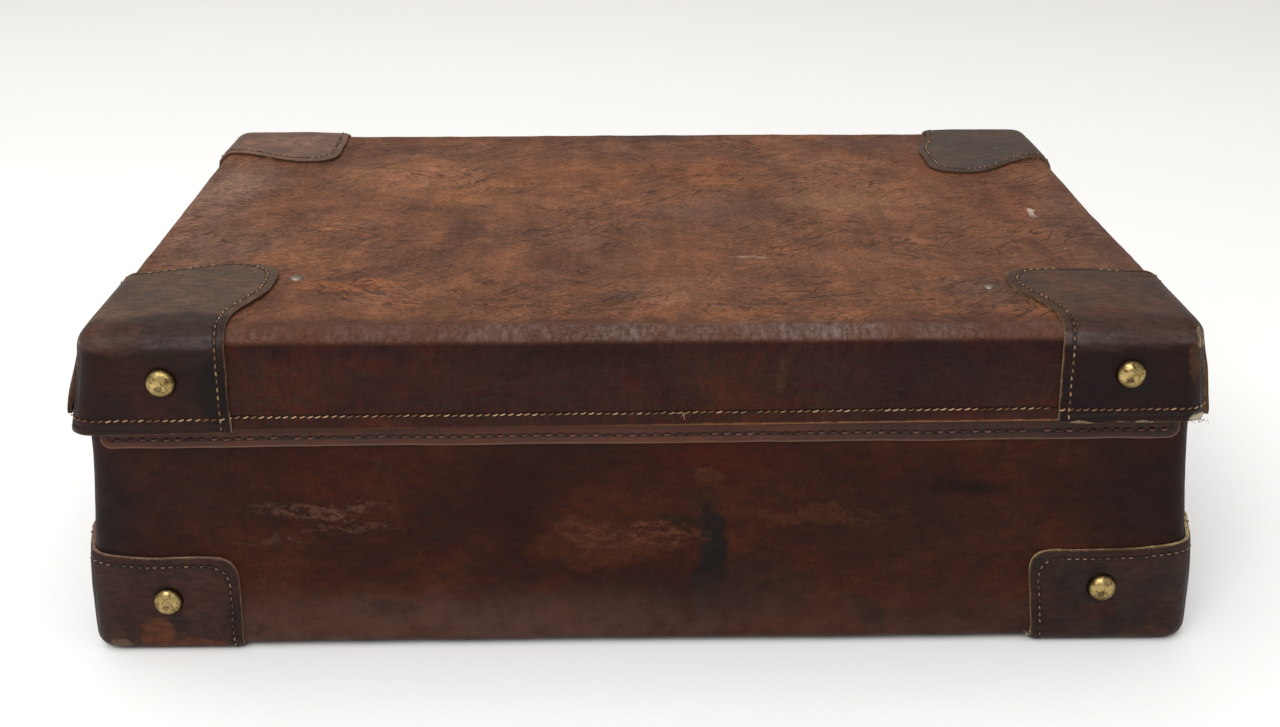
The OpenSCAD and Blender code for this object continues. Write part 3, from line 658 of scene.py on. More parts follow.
def lid_hide_material():
    """The lid's hide: mottled and cracked on the top, puckered at the roll with a painted sheen over it,
    darker on the walls.
    """
    s = Shader("lid_hide")
    place = s.place()
    stray = s.warped(place, 0.045, 0.020, detail=4)
    fine_stray = s.warped(stray, 0.012, 0.005, detail=4)
    broad = s.noise(s.scaled(place, (1.0, 0.75, 1.0), 0.1), 0.075, detail=5, rough=0.62, twist=0.3)
    colour = s.ramp(broad, [(0.30, lit(0.125, 0.064, 0.046)), (0.44, lit(0.175, 0.081, 0.051)),
                            (0.56, lit(0.205, 0.093, 0.056)), (0.70, lit(0.265, 0.120, 0.068))])
    mottle = s.noise(place, 0.021, detail=5, rough=0.68, twist=0.4)
    colour = s.mix(colour, lit(0.120, 0.070, 0.056), s.ease(mottle, 0.52, 0.72, 0, 0.50))
    colour = s.mix(colour, lit(0.285, 0.130, 0.072), s.ease(mottle, 0.48, 0.30, 0, 0.40))
    colour = s.stained(colour, stray, LID_STAINS_AND_SHEEN, 0.1)
    bands = s.noise(s.scaled(place, (1.0, 0.14, 0.14), 0.06), 0.011, detail=3, rough=0.6)
    colour = s.shade(colour, bands, 0.34, 0.66, 0.88, 1.10)
    blotches = s.noise(s.scaled(place, (0.7, 1.0, 1.0), 0.2), 0.0065, detail=4, rough=0.7, twist=0.5)
    colour = s.shade(colour, blotches, 0.36, 0.64, 0.90, 1.12)
    pebbles = s.noise(s.scaled(place, (0.55, 1.0, 1.0)), 0.0014, detail=2, rough=0.6)
    colour = s.shade(colour, pebbles, 0.36, 0.64, 0.82, 1.42)
    broken = s.ease(s.noise(place, 0.003, detail=4, rough=0.7), 0.42, 0.58, 0.35, 1)
    colour = s.stained(colour, fine_stray, LID_MARKS, 0.6, broken)
    z = s.node("SeparateXYZ", outputs="Z", Vector=place)
    y = s.node("SeparateXYZ", outputs="Y", Vector=fine_stray)
    brink = s.times(s.ease(y, REAR_Y - 0.020, REAR_Y - 0.009), 0.75)
    colour = s.mix(colour, lit(0.105, 0.052, 0.040), brink)
    even_y = s.node("SeparateXYZ", outputs="Y", Vector=place)
    pucker = s.scaled(s.warped(place, 0.006, 0.003, detail=3), (1.0, 0.42, 0.42))
    pucker = s.noise(pucker, 0.0026, detail=4, rough=0.7)
    # painted sheen: a pale reflection band painted along the rolled edge of the hinge side, strongest near
    # the middle, its lit and shaded tones following the puckers
    rolled = s.times(s.ease(even_y, REAR_Y - 0.010, REAR_Y - 0.0055),
                     s.ease(z, TOP_Z - 0.0060, TOP_Z - 0.0035))
    middle = s.blot(place, (-0.035, REAR_Y, TOP_Z), (0.17, 0.1, 0.1), 0.0, hard=0.35)
    shine = s.ease(s.noise(s.scaled(place, (1.0, 0.1, 0.1)), 0.040, detail=3), 0.36, 0.62, 0.30, 0.95)
    shine = s.times(shine, s.ease(middle, 0, 1, 0.42, 1.0))
    sheen_tone = s.mix(lit(0.110, 0.068, 0.056), lit(0.215, 0.160, 0.146), s.ease(pucker, 0.34, 0.70))
    colour = s.mix(colour, sheen_tone, s.times(rolled, shine))
    wall = s.ease(z, TOP_Z - 0.0030, TOP_Z - 0.0068)
    curl = s.times(s.ease(even_y, REAR_Y - 0.016, REAR_Y - 0.006), s.ease(z, TOP_Z - 0.024, TOP_Z - 0.004))
    wall_tone = s.ramp(s.noise(s.scaled(place, (0.5, 1, 1)), 0.05, detail=5, rough=0.6),
                       [(0.30, lit_side(0.024, 0.0125, 0.0100)), (0.50, lit_side(0.040, 0.0135, 0.0085)),
                        (0.68, lit_side(0.068, 0.0205, 0.0110))])
    wall_tone = s.stained(wall_tone, stray, LID_WALL_BLOTS, 0.2)
    wall_tone = s.shade(wall_tone, blotches, 0.36, 0.64, 0.80, 1.20)
    upright = s.noise(s.scaled(s.warped(place, 0.010, 0.004), (1.0, 1.0, 0.30)), 0.0024, detail=3, rough=0.65)
    wall_tone = s.shade(wall_tone, upright, 0.36, 0.64, 0.74, 1.28)
    colour = s.mix(colour, wall_tone, wall)
    creases, height, grain = leather_relief(s, place)
    # painted shade in the creases and grain lines, weaker where the edge curls over
    flatter = s.times(creases, s.ease(curl, 0, 1, 1.0, 0.45))
    colour = s.mix(colour, (0.026, 0.011, 0.007), s.times(flatter, 0.80))
    height = s.math("MULTIPLY_ADD", s.times(pucker, curl), 3.2, height)
    worn = s.times(s.ease(grain, 0.58, 0.80, 0, 0.45), s.ease(wall, 0.9, 0.1, 0.12, 1))
    colour = s.mix(colour, (0.34, 0.165, 0.085), worn)
    specks = s.ease(s.noise(place, 0.0022, detail=1), 0.76, 0.80)
    rare = s.ease(s.noise(place, 0.05, detail=1), 0.55, 0.7)
    colour = s.mix(colour, (0.50, 0.40, 0.32), s.times(s.times(specks, rare), 0.5))
    foot = s.value("foot")
    edge = s.ease(s.math("MULTIPLY_ADD", s.noise(place, 0.006, detail=3), 0.0014, foot), 0.0024, 0.0012)
    x = s.node("SeparateXYZ", outputs="X", Vector=place)
    worn_right = s.ease(x, 0.06, -0.08, 0.15, 0.85)
    raw = s.mix((0.08, 0.030, 0.014), (0.38, 0.17, 0.060), s.noise(place, 0.004, detail=3))
    colour = s.mix(colour, raw, s.times(edge, worn_right))
    # painted shade in the pressed stitch line, which the bump below also lowers
    groove = s.ease(s.math("ABSOLUTE", s.math("SUBTRACT", foot, LID_STITCH_UP)), 0.0014, 0.0004)
    colour = s.mix(colour, (0.012, 0.005, 0.004), s.times(groove, 0.75))
    height = s.math("MULTIPLY_ADD", groove, -0.8, height)
    rough = s.ease(mottle, 0.3, 0.7, 0.44, 0.60)
    rough = s.math("MULTIPLY_ADD", creases, 0.12, rough)
    return s.finish(colour, rough, s.bump(height, 0.00055, 0.9), Specular_IOR_Level=0.14)


def base_hide_material():
    """The base's hide: dark red-brown with stains and scuffs, and paler low down where light bounced from the
    floor is painted in.
    """
    s = Shader("base_hide")
    place = s.place()
    stray = s.warped(place, 0.040, 0.016, detail=4)
    ragged = s.warped(stray, 0.010, 0.006, detail=5)
    broad = s.noise(s.scaled(place, (0.8, 1, 1.3)), 0.070, detail=5, rough=0.6, twist=0.2)
    colour = s.ramp(broad, [(0.30, lit_side(0.028, 0.0150, 0.0120)), (0.45, lit_side(0.040, 0.0155, 0.0110)),
                            (0.58, lit_side(0.056, 0.0200, 0.0135)), (0.72, lit_side(0.076, 0.0260, 0.0165))])
    mottle = s.noise(place, 0.018, detail=5, rough=0.66)
    colour = s.mix(colour, lit_side(0.030, 0.020, 0.017), s.ease(mottle, 0.50, 0.72, 0, 0.6))
    colour = s.stained(colour, stray, BASE_BLOTS, 0.15)
    colour = s.stained(colour, ragged, BASE_STAINS, 0.62)
    broken = s.ease(s.noise(s.scaled(place, (0.6, 1, 1.3)), 0.0040, detail=5, rough=0.8), 0.46, 0.56)
    colour = s.stained(colour, ragged, BASE_SCUFFS, 0.5, broken)
    blotches = s.noise(s.scaled(place, (0.6, 1.0, 1.2)), 0.0065, detail=4, rough=0.7)
    colour = s.shade(colour, blotches, 0.36, 0.64, 0.82, 1.20)
    colour = s.shade(colour, s.noise(place, 0.0019, detail=3, rough=0.7), 0.36, 0.64, 0.82, 1.20)
    creases, height, grain = leather_relief(s, place, crease=0.35, size=0.8, lines=0.5)
    # painted shade in the creases and grain lines
    colour = s.mix(colour, (0.006, 0.003, 0.002), s.times(creases, 0.5))
    colour = s.mix(colour, (0.10, 0.045, 0.028), s.ease(grain, 0.60, 0.80, 0, 0.35))
    z = s.node("SeparateXYZ", outputs="Z", Vector=place)
    x = s.node("SeparateXYZ", outputs="X", Vector=stray)
    # painted light bounced from the floor: paler low down, strongest on the left and broken up by noise
    low = s.times(s.ease(z, 0.046, 0.004), s.ease(x, -0.10, 0.06, 0.50, 1.0))
    low = s.times(low, s.ease(s.noise(place, 0.014, detail=5, rough=0.7), 0.36, 0.62, 0.45, 1.0))
    colour = s.mix(colour, lit_side(0.100, 0.052, 0.041), low)
    rough = s.ease(mottle, 0.3, 0.7, 0.46, 0.64)
    return s.finish(colour, rough, s.bump(height, 0.00035, 0.8), Specular_IOR_Level=0.11)


def patch_material(name, tint, top_tint, worn=(), seed=0.0):
    """A corner patch's face: dark hide, rubbed paler where it is handled, with painted shade and a painted
    sheen along its rolled top edge, and its cut edge bare.
    """
    s = Shader(name)
    place = s.place()
    moved = s.node("VectorMath", settings={"operation": "ADD"}, i0=place, i1=(seed, seed * 0.7, 0))
    z = s.node("SeparateXYZ", outputs="Z", Vector=place)
    up = s.ease(z, TOP_Z - 0.0095, TOP_Z - 0.0025)
    roll = s.times(s.ease(z, TOP_Z - 0.0080, TOP_Z - 0.0045), s.ease(z, TOP_Z + 0.0004, TOP_Z - 0.0020))
    broad = s.noise(moved, 0.030, detail=5, rough=0.62)
    red = s.ease(s.noise(moved, 0.022, detail=3), 0.40, 0.66)
    face = s.mix(tuple(0.62 * c for c in tint), tuple(1.45 * c for c in tint), s.ease(broad, 0.34, 0.66))
    face = s.mix(face, (1.9 * tint[0], 0.85 * tint[1], 0.72 * tint[2]), s.times(red, 0.45))
    top = s.mix(tuple(0.70 * c for c in top_tint), tuple(1.28 * c for c in top_tint),
                s.ease(broad, 0.34, 0.68))
    colour = s.mix(face, top, up)
    colour = s.stained(colour, s.warped(place, 0.012, 0.006, detail=5), worn, 0.7)
    blotches = s.noise(moved, 0.0065, detail=4, rough=0.7)
    colour = s.shade(colour, blotches, 0.36, 0.64, 0.90, 1.10)
    # painted sheen: a pale cool reflection painted in patches along the rolled top edge
    glint = s.ease(s.noise(moved, 0.028, detail=3), 0.36, 0.62, 0.15, 0.75)
    colour = s.mix(colour, lit(0.105, 0.085, 0.083), s.times(roll, glint))
    lines = s.noise(s.scaled(s.warped(place, 0.02, 0.004), (0.28, 1.0, 0.8)), 0.0021, detail=3, rough=0.65)
    colour = s.shade(colour, lines, 0.38, 0.62, 0.80, 1.20)
    creases, height, grain = leather_relief(s, moved, crease=0.55, size=0.9)
    height = s.math("MULTIPLY_ADD", lines, 0.5, height)
    # painted shade in the creases and grain lines
    colour = s.mix(colour, tuple(0.3 * c for c in tint), s.times(creases, 0.6))
    colour = s.mix(colour, (0.16, 0.090, 0.058), s.times(s.ease(grain, 0.62, 0.82, 0, 0.30), up))
    rim = s.math("MULTIPLY_ADD", s.math("SUBTRACT", s.noise(place, 0.0035, detail=4, rough=0.7), 0.5),
                 0.0016, s.value("rim"))
    bare = s.ease(rim, 0.0007, 0.0001)
    raw = s.ramp(s.noise(place, 0.0028, detail=4, rough=0.7),
                 [(0.35, (0.050, 0.023, 0.012)), (0.55, (0.13, 0.065, 0.032)), (0.72, (0.30, 0.19, 0.10))])
    colour = s.mix(colour, raw, s.times(bare, 0.6))
    # painted shade in the pressed stitch line, which the bump below also lowers
    gap = s.math("ABSOLUTE", s.math("SUBTRACT", s.value("rim"), PATCH_STITCH_IN))
    groove = s.ease(gap, 0.0015, 0.0004)
    colour = s.mix(colour, (0.014, 0.008, 0.006), s.times(groove, 0.7))
    height = s.math("MULTIPLY_ADD", groove, -0.9, height)
    rough = s.ease(broad, 0.3, 0.7, 0.40, 0.58)
    rough = s.math("MULTIPLY_ADD", bare, 0.3, rough)
    return s.finish(colour, rough, s.bump(height, 0.00045, 0.85), Specular_IOR_Level=0.14)


def raw_edge_material(name, dark, middle, pale, clean=(0.52, 0.70), bright=()):
    """Cut hide: dirty brown, with paler fibres where it is rubbed and at the places in bright."""
    s = Shader(name)
    place = s.place()
    fibre = s.noise(place, 0.0012, detail=5, rough=0.75)
    dirt = s.noise(place, 0.018, detail=4, rough=0.6)
    colour = s.mix(dark, middle, s.ease(fibre, 0.35, 0.65))
    colour = s.mix(colour, pale, s.times(s.ease(dirt, clean[0], clean[1]), s.ease(fibre, 0.35, 0.60)))
    colour = s.stained(colour, s.warped(place, 0.006, 0.002), bright, 0.6)
    return s.finish(colour, 0.85, s.bump(fibre, 0.0006, 1.0), Specular_IOR_Level=0.15)


def strip_material():
    """The hinge strip's hide, with a pressed line where its stitches lie."""
    s = Shader("strip_hide")
    place = s.place()
    broad = s.noise(s.scaled(place, (0.4, 1, 1)), 0.030, detail=5, rough=0.62)
    colour = s.ramp(broad, [(0.30, (0.030, 0.0135, 0.0110)), (0.50, (0.060, 0.0210, 0.0140)),
                            (0.70, (0.100, 0.0340, 0.0190))])
    x = s.node("SeparateXYZ", outputs="X", Vector=place)
    colour = s.mix(colour, (0.018, 0.009, 0.008), s.ease(x, 0.0, -0.20, 0, 0.65))
    creases, height, grain = leather_relief(s, place, crease=0.5, size=0.6)
    # painted shade in the creases and grain lines
    colour = s.mix(colour, (0.012, 0.007, 0.006), s.times(creases, 0.5))
    wander = s.math("SUBTRACT", s.noise(place, 0.004, detail=3), 0.5)
    rim = s.math("MULTIPLY_ADD", wander, 0.0012, s.value("rim"))
    bare = s.ease(rim, 0.0013, 0.0005)
    colour = s.mix(colour, (0.135, 0.070, 0.044), s.times(bare, 0.7))
    # painted shade in the pressed stitch line, which the bump below also lowers
    gap = s.math("ABSOLUTE", s.math("SUBTRACT", s.value("rim"), STRIP_STITCH_IN))
    groove = s.ease(gap, 0.0017, 0.0004)
    colour = s.mix(colour, (0.010, 0.006, 0.005), s.times(groove, 0.75))
    height = s.math("MULTIPLY_ADD", groove, -1.0, height)
    return s.finish(colour, s.ease(broad, 0.3, 0.7, 0.42, 0.58), s.bump(height, 0.0004, 0.9),
                    Specular_IOR_Level=0.18)


def thread_material(name, dark, light):
    """Waxed thread. The mesh's tone value picks each stitch's colour, and 0 is a dark disc painted as the
    shade inside a needle hole.
    """
    s = Shader(name)
    place = s.place()
    tone = s.value("tone")
    fibre = s.noise(place, 0.0005, detail=3, rough=0.7)
    colour = s.mix(dark, light, s.ease(tone, 0.15, 0.85))
    dirt = s.ease(s.noise(place, 0.02, detail=3), 0.5, 0.7, 0, 0.7)
    colour = s.mix(colour, tuple(0.35 * c for c in dark), dirt)
    # tone 0: near-black, the painted shade of a needle hole
    colour = s.mix((0.004, 0.0025, 0.002), colour, s.ease(tone, 0.04, 0.09))
    return s.finish(colour, 0.75, s.bump(fibre, 0.0002, 0.9), Specular_IOR_Level=0.15)


def brass_material(name="worn_brass", fresh=(0.56, 0.42, 0.19), dull=(0.21, 0.15, 0.065),
                   dark=(0.05, 0.035, 0.018), worn_only=False):
    """Tarnished metal. With worn_only it is bright only where the mesh's clean value is high, which on the
    studs also carries painted light and shade, and nicked.
    """
    s = Shader(name)
    place = s.place()
    cloud = s.noise(place, 0.0055, detail=5, rough=0.7, twist=0.4)
    pits = s.noise(place, 0.0012, detail=4, rough=0.7)
    colour = s.ramp(cloud, [(0.34, dull), (0.52, fresh), (0.70, tuple(min(1, 1.25 * c) for c in fresh))])
    colour = s.mix(colour, dark, s.ease(pits, 0.58, 0.72, 0, 0.8))
    if worn_only:
        # the clean value holds wear and tarnish, and on the studs painted light on the upper half and painted
        # shade on the lower half and at the rim
        colour = s.mix(dark, colour, s.ease(s.math("MULTIPLY_ADD", cloud, 0.5, s.value("clean")), 0.35, 1.15))
        nicks = s.ease(s.cells(s.warped(place, 0.003, 0.0012, detail=4), 0.0042), 0.0, 0.085, 1, 0)
        nicks = s.times(nicks, s.ease(s.noise(place, 0.0035, detail=2), 0.44, 0.56))
        colour = s.mix(colour, (0.030, 0.018, 0.008), s.times(nicks, 0.85))
    geometry = s.node("NewGeometry", outputs="Pointiness")
    colour = s.mix(colour, dark, s.ease(geometry, 0.485, 0.455, 0, 0.75))
    rough = s.ease(cloud, 0.3, 0.7, 0.48, 0.27)
    height = s.math("MULTIPLY_ADD", pits, 0.5, cloud)
    return s.finish(colour, rough, s.bump(height, 0.00022, 0.7), Metallic=0.92)


def steel_material():
    """Dull grey steel of pins, washers and the handle's core."""
    s = Shader("dull_steel")
    place = s.place()
    cloud = s.noise(place, 0.004, detail=5, rough=0.7)
    colour = s.ramp(cloud, [(0.35, (0.16, 0.13, 0.10)), (0.55, (0.34, 0.31, 0.27)),
                            (0.7, (0.48, 0.45, 0.40))])
    return s.finish(colour, s.ease(cloud, 0.3, 0.7, 0.55, 0.38), s.bump(cloud, 0.0002, 0.6), Metallic=0.8)


def cloth_material():
    """Plain-woven cotton drill, a little stained."""
    s = Shader("lining_cloth")
    place = s.place()
    pitch = 0.0011
    stray = s.warped(place, 0.012, 0.0004)
    across = s.node("TexWave", settings={"wave_type": "BANDS", "bands_direction": "DIAGONAL"},
                    Vector=stray, Scale=1 / (pitch * 3.2), Distortion=0.4)
    x = s.node("SeparateXYZ", outputs="X", Vector=stray)
    y = s.node("SeparateXYZ", outputs="Y", Vector=stray)
    z = s.node("SeparateXYZ", outputs="Z", Vector=stray)
    warp = s.math("SINE", s.times(s.math("ADD", x, s.times(z, 0.5)), 2 * math.pi / pitch))
    weft = s.math("SINE", s.times(s.math("ADD", y, s.times(z, 0.9)), 2 * math.pi / pitch))
    weave = s.math("MULTIPLY_ADD", warp, 0.5, s.math("MULTIPLY_ADD", weft, 0.5, across))
    stain = s.noise(place, 0.09, detail=5, rough=0.65)
    colour = s.ramp(stain, [(0.30, (0.26, 0.175, 0.095)), (0.50, (0.40, 0.30, 0.18)),
                            (0.68, (0.50, 0.39, 0.25))])
    colour = s.mix(colour, (0.20, 0.13, 0.07), s.ease(weave, 0.4, -0.6, 0, 0.45))
    foxing = s.ease(s.noise(place, 0.010, detail=3), 0.66, 0.76, 0, 0.5)
    colour = s.mix(colour, (0.16, 0.085, 0.04), foxing)
    return s.finish(colour, 0.92, s.bump(weave, 0.00025, 0.6), Sheen_Weight=0.25, Specular_IOR_Level=0.15)


def board_material():
    """Pressed fibre board."""
    s = Shader("fibre_board")
    place = s.place()
    fibre = s.noise(s.scaled(place, (0.3, 1, 1), 0.4), 0.0018, detail=4, rough=0.7)
    cloud = s.noise(place, 0.05, detail=4)
    colour = s.mix((0.20, 0.135, 0.075), (0.36, 0.26, 0.16), s.ease(fibre, 0.3, 0.7))
    colour = s.mix(colour, (0.14, 0.09, 0.05), s.ease(cloud, 0.5, 0.7, 0, 0.6))
    return s.finish(colour, 0.85, s.bump(fibre, 0.0003, 0.6), Specular_IOR_Level=0.2)


def wood_material():
    """Ash bars of the frame round the base's mouth."""
    s = Shader("frame_ash")
    place = s.place()
    long = s.scaled(place, (0.06, 0.06, 1.0))
    rings = s.noise(long, 0.004, detail=5, rough=0.65, twist=0.6)
    colour = s.ramp(rings, [(0.32, (0.26, 0.15, 0.065)), (0.52, (0.45, 0.30, 0.15)),
                            (0.7, (0.56, 0.41, 0.23))])
    return s.finish(colour, 0.6, s.bump(rings, 0.0002, 0.6), Specular_IOR_Level=0.3)


def binding_material():
    """Thin edging hide round the base's mouth and on the handle."""
    s = Shader("binding_hide")
    place = s.place()
    broad = s.noise(place, 0.025, detail=5, rough=0.65)
    colour = s.ramp(broad, [(0.30, (0.030, 0.015, 0.010)), (0.50, (0.075, 0.032, 0.018)),
                            (0.70, (0.150, 0.070, 0.036))])
    creases, height, grain = leather_relief(s, place, crease=0.6, size=0.5)
    # painted shade in the creases and grain lines
    colour = s.mix(colour, (0.015, 0.008, 0.006), s.times(creases, 0.5))
    colour = s.mix(colour, (0.24, 0.14, 0.08), s.ease(grain, 0.62, 0.82, 0, 0.3))
    return s.finish(colour, s.ease(broad, 0.3, 0.7, 0.36, 0.52), s.bump(height, 0.00035, 0.8),
                    Specular_IOR_Level=0.42)


def stage_material(name, low, high):
    """A plain pale floor between two close colours."""
    s = Shader(name)
    place = s.place()
    colour = s.mix(low, high, s.noise(place, 0.6, detail=3))
    grain = s.noise(place, 0.02, detail=4, rough=0.6)
    return s.finish(colour, 0.9, s.bump(grain, 0.002, 0.15), Specular_IOR_Level=0.1)


# ---------------------------------------------------------------- stains and marks, and one painted sheen
# Each stain becomes (middle, half sizes, turn, colour, strength), in metres.

def on_top(*rows):
    """Stains on the lid's top, with one patch of painted sheen among them. Each row has the middle, u to the
    right and v away from the hinge side, and the half sizes the same way, in millimetres, then turn, colour
    as it looks, and strength."""
    return [((-u * MM, REAR_Y - v * MM, TOP_Z), (ru * MM, rv * MM, 0.03), turn, lit(*colour), strength)
            for u, v, ru, rv, turn, *colour, strength in rows]


def on_rear(*rows):
    """Stains on the hinge side. Each row has the middle, u to the right and h above the floor, and the half
    sizes the same way, in millimetres, then the colour as it looks and the strength."""
    return [((-u * MM, REAR_Y, h * MM), (ru * MM, 0.05, rh * MM), 0.0, lit_side(*colour), strength)
            for u, h, ru, rh, *colour, strength in rows]


LID_STAINS_AND_SHEEN = on_top(
    (-140, 285, 85, 60, 0.15, 0.300, 0.138, 0.078, 0.75),
    (-30, 280, 75, 62, -0.2, 0.265, 0.108, 0.056, 0.60),
    (48, 285, 55, 42, 0.0, 0.270, 0.098, 0.048, 0.55),
    (-262, 235, 42, 120, 0.0, 0.235, 0.142, 0.105, 0.65),
    (-235, 130, 55, 60, 0.0, 0.165, 0.100, 0.075, 0.50),
    (-240, 125, 52, 85, 0.0, 0.175, 0.105, 0.079, 0.50),
    (266, 150, 38, 170, 0.0, 0.115, 0.072, 0.058, 0.70),
    (150, 355, 42, 30, 0.0, 0.095, 0.055, 0.046, 0.70),
    (15, 380, 55, 24, 0.0, 0.095, 0.060, 0.052, 0.65),
    (-60, 375, 60, 20, 0.0, 0.150, 0.070, 0.048, 0.50),
    (45, 195, 62, 40, 0.2, 0.130, 0.078, 0.062, 0.60),
    (-40, 150, 60, 36, 0.0, 0.158, 0.084, 0.060, 0.45),
    (125, 215, 58, 38, 0.0, 0.260, 0.138, 0.083, 0.60),
    (120, 105, 60, 34, 0.0, 0.255, 0.118, 0.070, 0.60),
    (-108, 235, 40, 26, 0.0, 0.330, 0.142, 0.070, 0.65),
    (-200, 112, 55, 22, 0.1, 0.290, 0.128, 0.066, 0.60),
    (225, 215, 40, 60, 0.0, 0.165, 0.066, 0.044, 0.55),
    (200, 300, 40, 50, 0.0, 0.160, 0.060, 0.040, 0.55),
    (190, 58, 52, 30, 0.0, 0.095, 0.066, 0.055, 0.70),
    (30, 62, 85, 26, 0.0, 0.245, 0.118, 0.072, 0.65),
    (-120, 66, 60, 20, 0.0, 0.235, 0.105, 0.062, 0.45),
    # painted sheen: a pale grey reflection on the far left of the top, not a stain
    (-250, 265, 40, 60, 0.0, 0.270, 0.165, 0.120, 0.55),
    (-150, 275, 60, 40, 0.0, 0.330, 0.150, 0.085, 0.55),
    (255, 105, 32, 60, 0.0, 0.115, 0.064, 0.048, 0.65),
    (-12, 48, 16, 14, 0.0, 0.110, 0.068, 0.058, 0.65),
    (-86, 262, 30, 22, 0.0, 0.360, 0.150, 0.070, 0.55),
    (60, 262, 30, 26, 0.0, 0.330, 0.130, 0.058, 0.50),
)
LID_MARKS = on_top(
    (-152, 68, 36, 11, 0.08, 0.350, 0.135, 0.068, 0.90),
    (12, 40, 12, 8, 0.0, 0.330, 0.165, 0.110, 0.70),
    (240, 190, 3.2, 9, 0.0, 0.681, 0.555, 0.471, 0.80),
    (62, 110, 15, 2.4, 0.2, 0.576, 0.429, 0.3345, 0.55),
    (100, 44, 30, 5, 0.0, 0.260, 0.125, 0.078, 0.5),
)
LID_WALL_BLOTS = on_rear(
    (-190, 155, 60, 22, 0.064, 0.0200, 0.0120, 0.60),
    (-60, 150, 70, 26, 0.036, 0.0140, 0.0100, 0.60),
    (40, 160, 40, 20, 0.062, 0.0210, 0.0125, 0.50),
    (150, 150, 70, 30, 0.024, 0.0115, 0.0090, 0.70),
    (72, 158, 6, 20, 0.080, 0.0360, 0.0180, 0.55),
)
BASE_BLOTS = on_rear(
    (-235, 90, 55, 40, 0.042, 0.0190, 0.0150, 0.60),
    (-160, 104, 50, 26, 0.048, 0.0150, 0.0105, 0.50),
    (-70, 85, 28, 45, 0.028, 0.0125, 0.0105, 0.65),
    (35, 110, 50, 16, 0.066, 0.0160, 0.0100, 0.75),
    (150, 60, 90, 40, 0.040, 0.0190, 0.0150, 0.50),
    (170, 92, 36, 10, 0.018, 0.0110, 0.0095, 0.80),
    (238, 84, 40, 46, 0.027, 0.0150, 0.0120, 0.65),
    (-100, 22, 150, 14, 0.082, 0.0420, 0.0330, 0.60),
    (-282, 80, 36, 75, 0.023, 0.0180, 0.0185, 0.85),
    (278, 86, 66, 75, 0.021, 0.0140, 0.0140, 0.88),
)
BASE_SCUFFS = on_rear(
    (-165, 82, 44, 7, 0.115, 0.0580, 0.0400, 0.75),
    (-150, 70, 36, 5, 0.100, 0.0480, 0.0340, 0.60),
    (-5, 66, 46, 10, 0.105, 0.0400, 0.0230, 0.85),
    (-190, 62, 26, 3, 0.100, 0.0520, 0.0380, 0.55),
    (110, 78, 40, 6, 0.068, 0.0300, 0.0200, 0.55),
    (-75, 20, 8, 30, 0.020, 0.0110, 0.0100, 0.5),
)
BASE_STAINS = on_rear(
    (-22, 58, 44, 15, 0.078, 0.0270, 0.0155, 0.50),
    (35, 50, 10.5, 42, 0.019, 0.0165, 0.0150, 0.95),
    (20, 74, 17, 4, 0.030, 0.0170, 0.0130, 0.80),
    (60, 34, 40, 20, 0.030, 0.0190, 0.0160, 0.60),
    (36, 98, 9, 6, 0.085, 0.0330, 0.0200, 0.60),
    (82, 76, 34, 8, 0.075, 0.0290, 0.0170, 0.60),
    (-130, 24, 16, 8, 0.026, 0.0150, 0.0140, 0.70),
    (120, 18, 10, 9, 0.020, 0.0130, 0.0120, 0.75),
)
LID_STITCH_UP = 7.4 * MM
PATCH_STITCH_IN = 4.6 * MM
STRIP_STITCH_IN = 4.8 * MM


# ---------------------------------------------------------------- the skins

def arc_profile(centre, radius, start, stop, count):
    """(distance, height) along a fillet, with angles from straight up."""
    angles = np.radians(np.linspace(start, stop, count + 1))
    return [(centre[0] + radius * math.sin(a), centre[1] + radius * math.cos(a)) for a in angles]


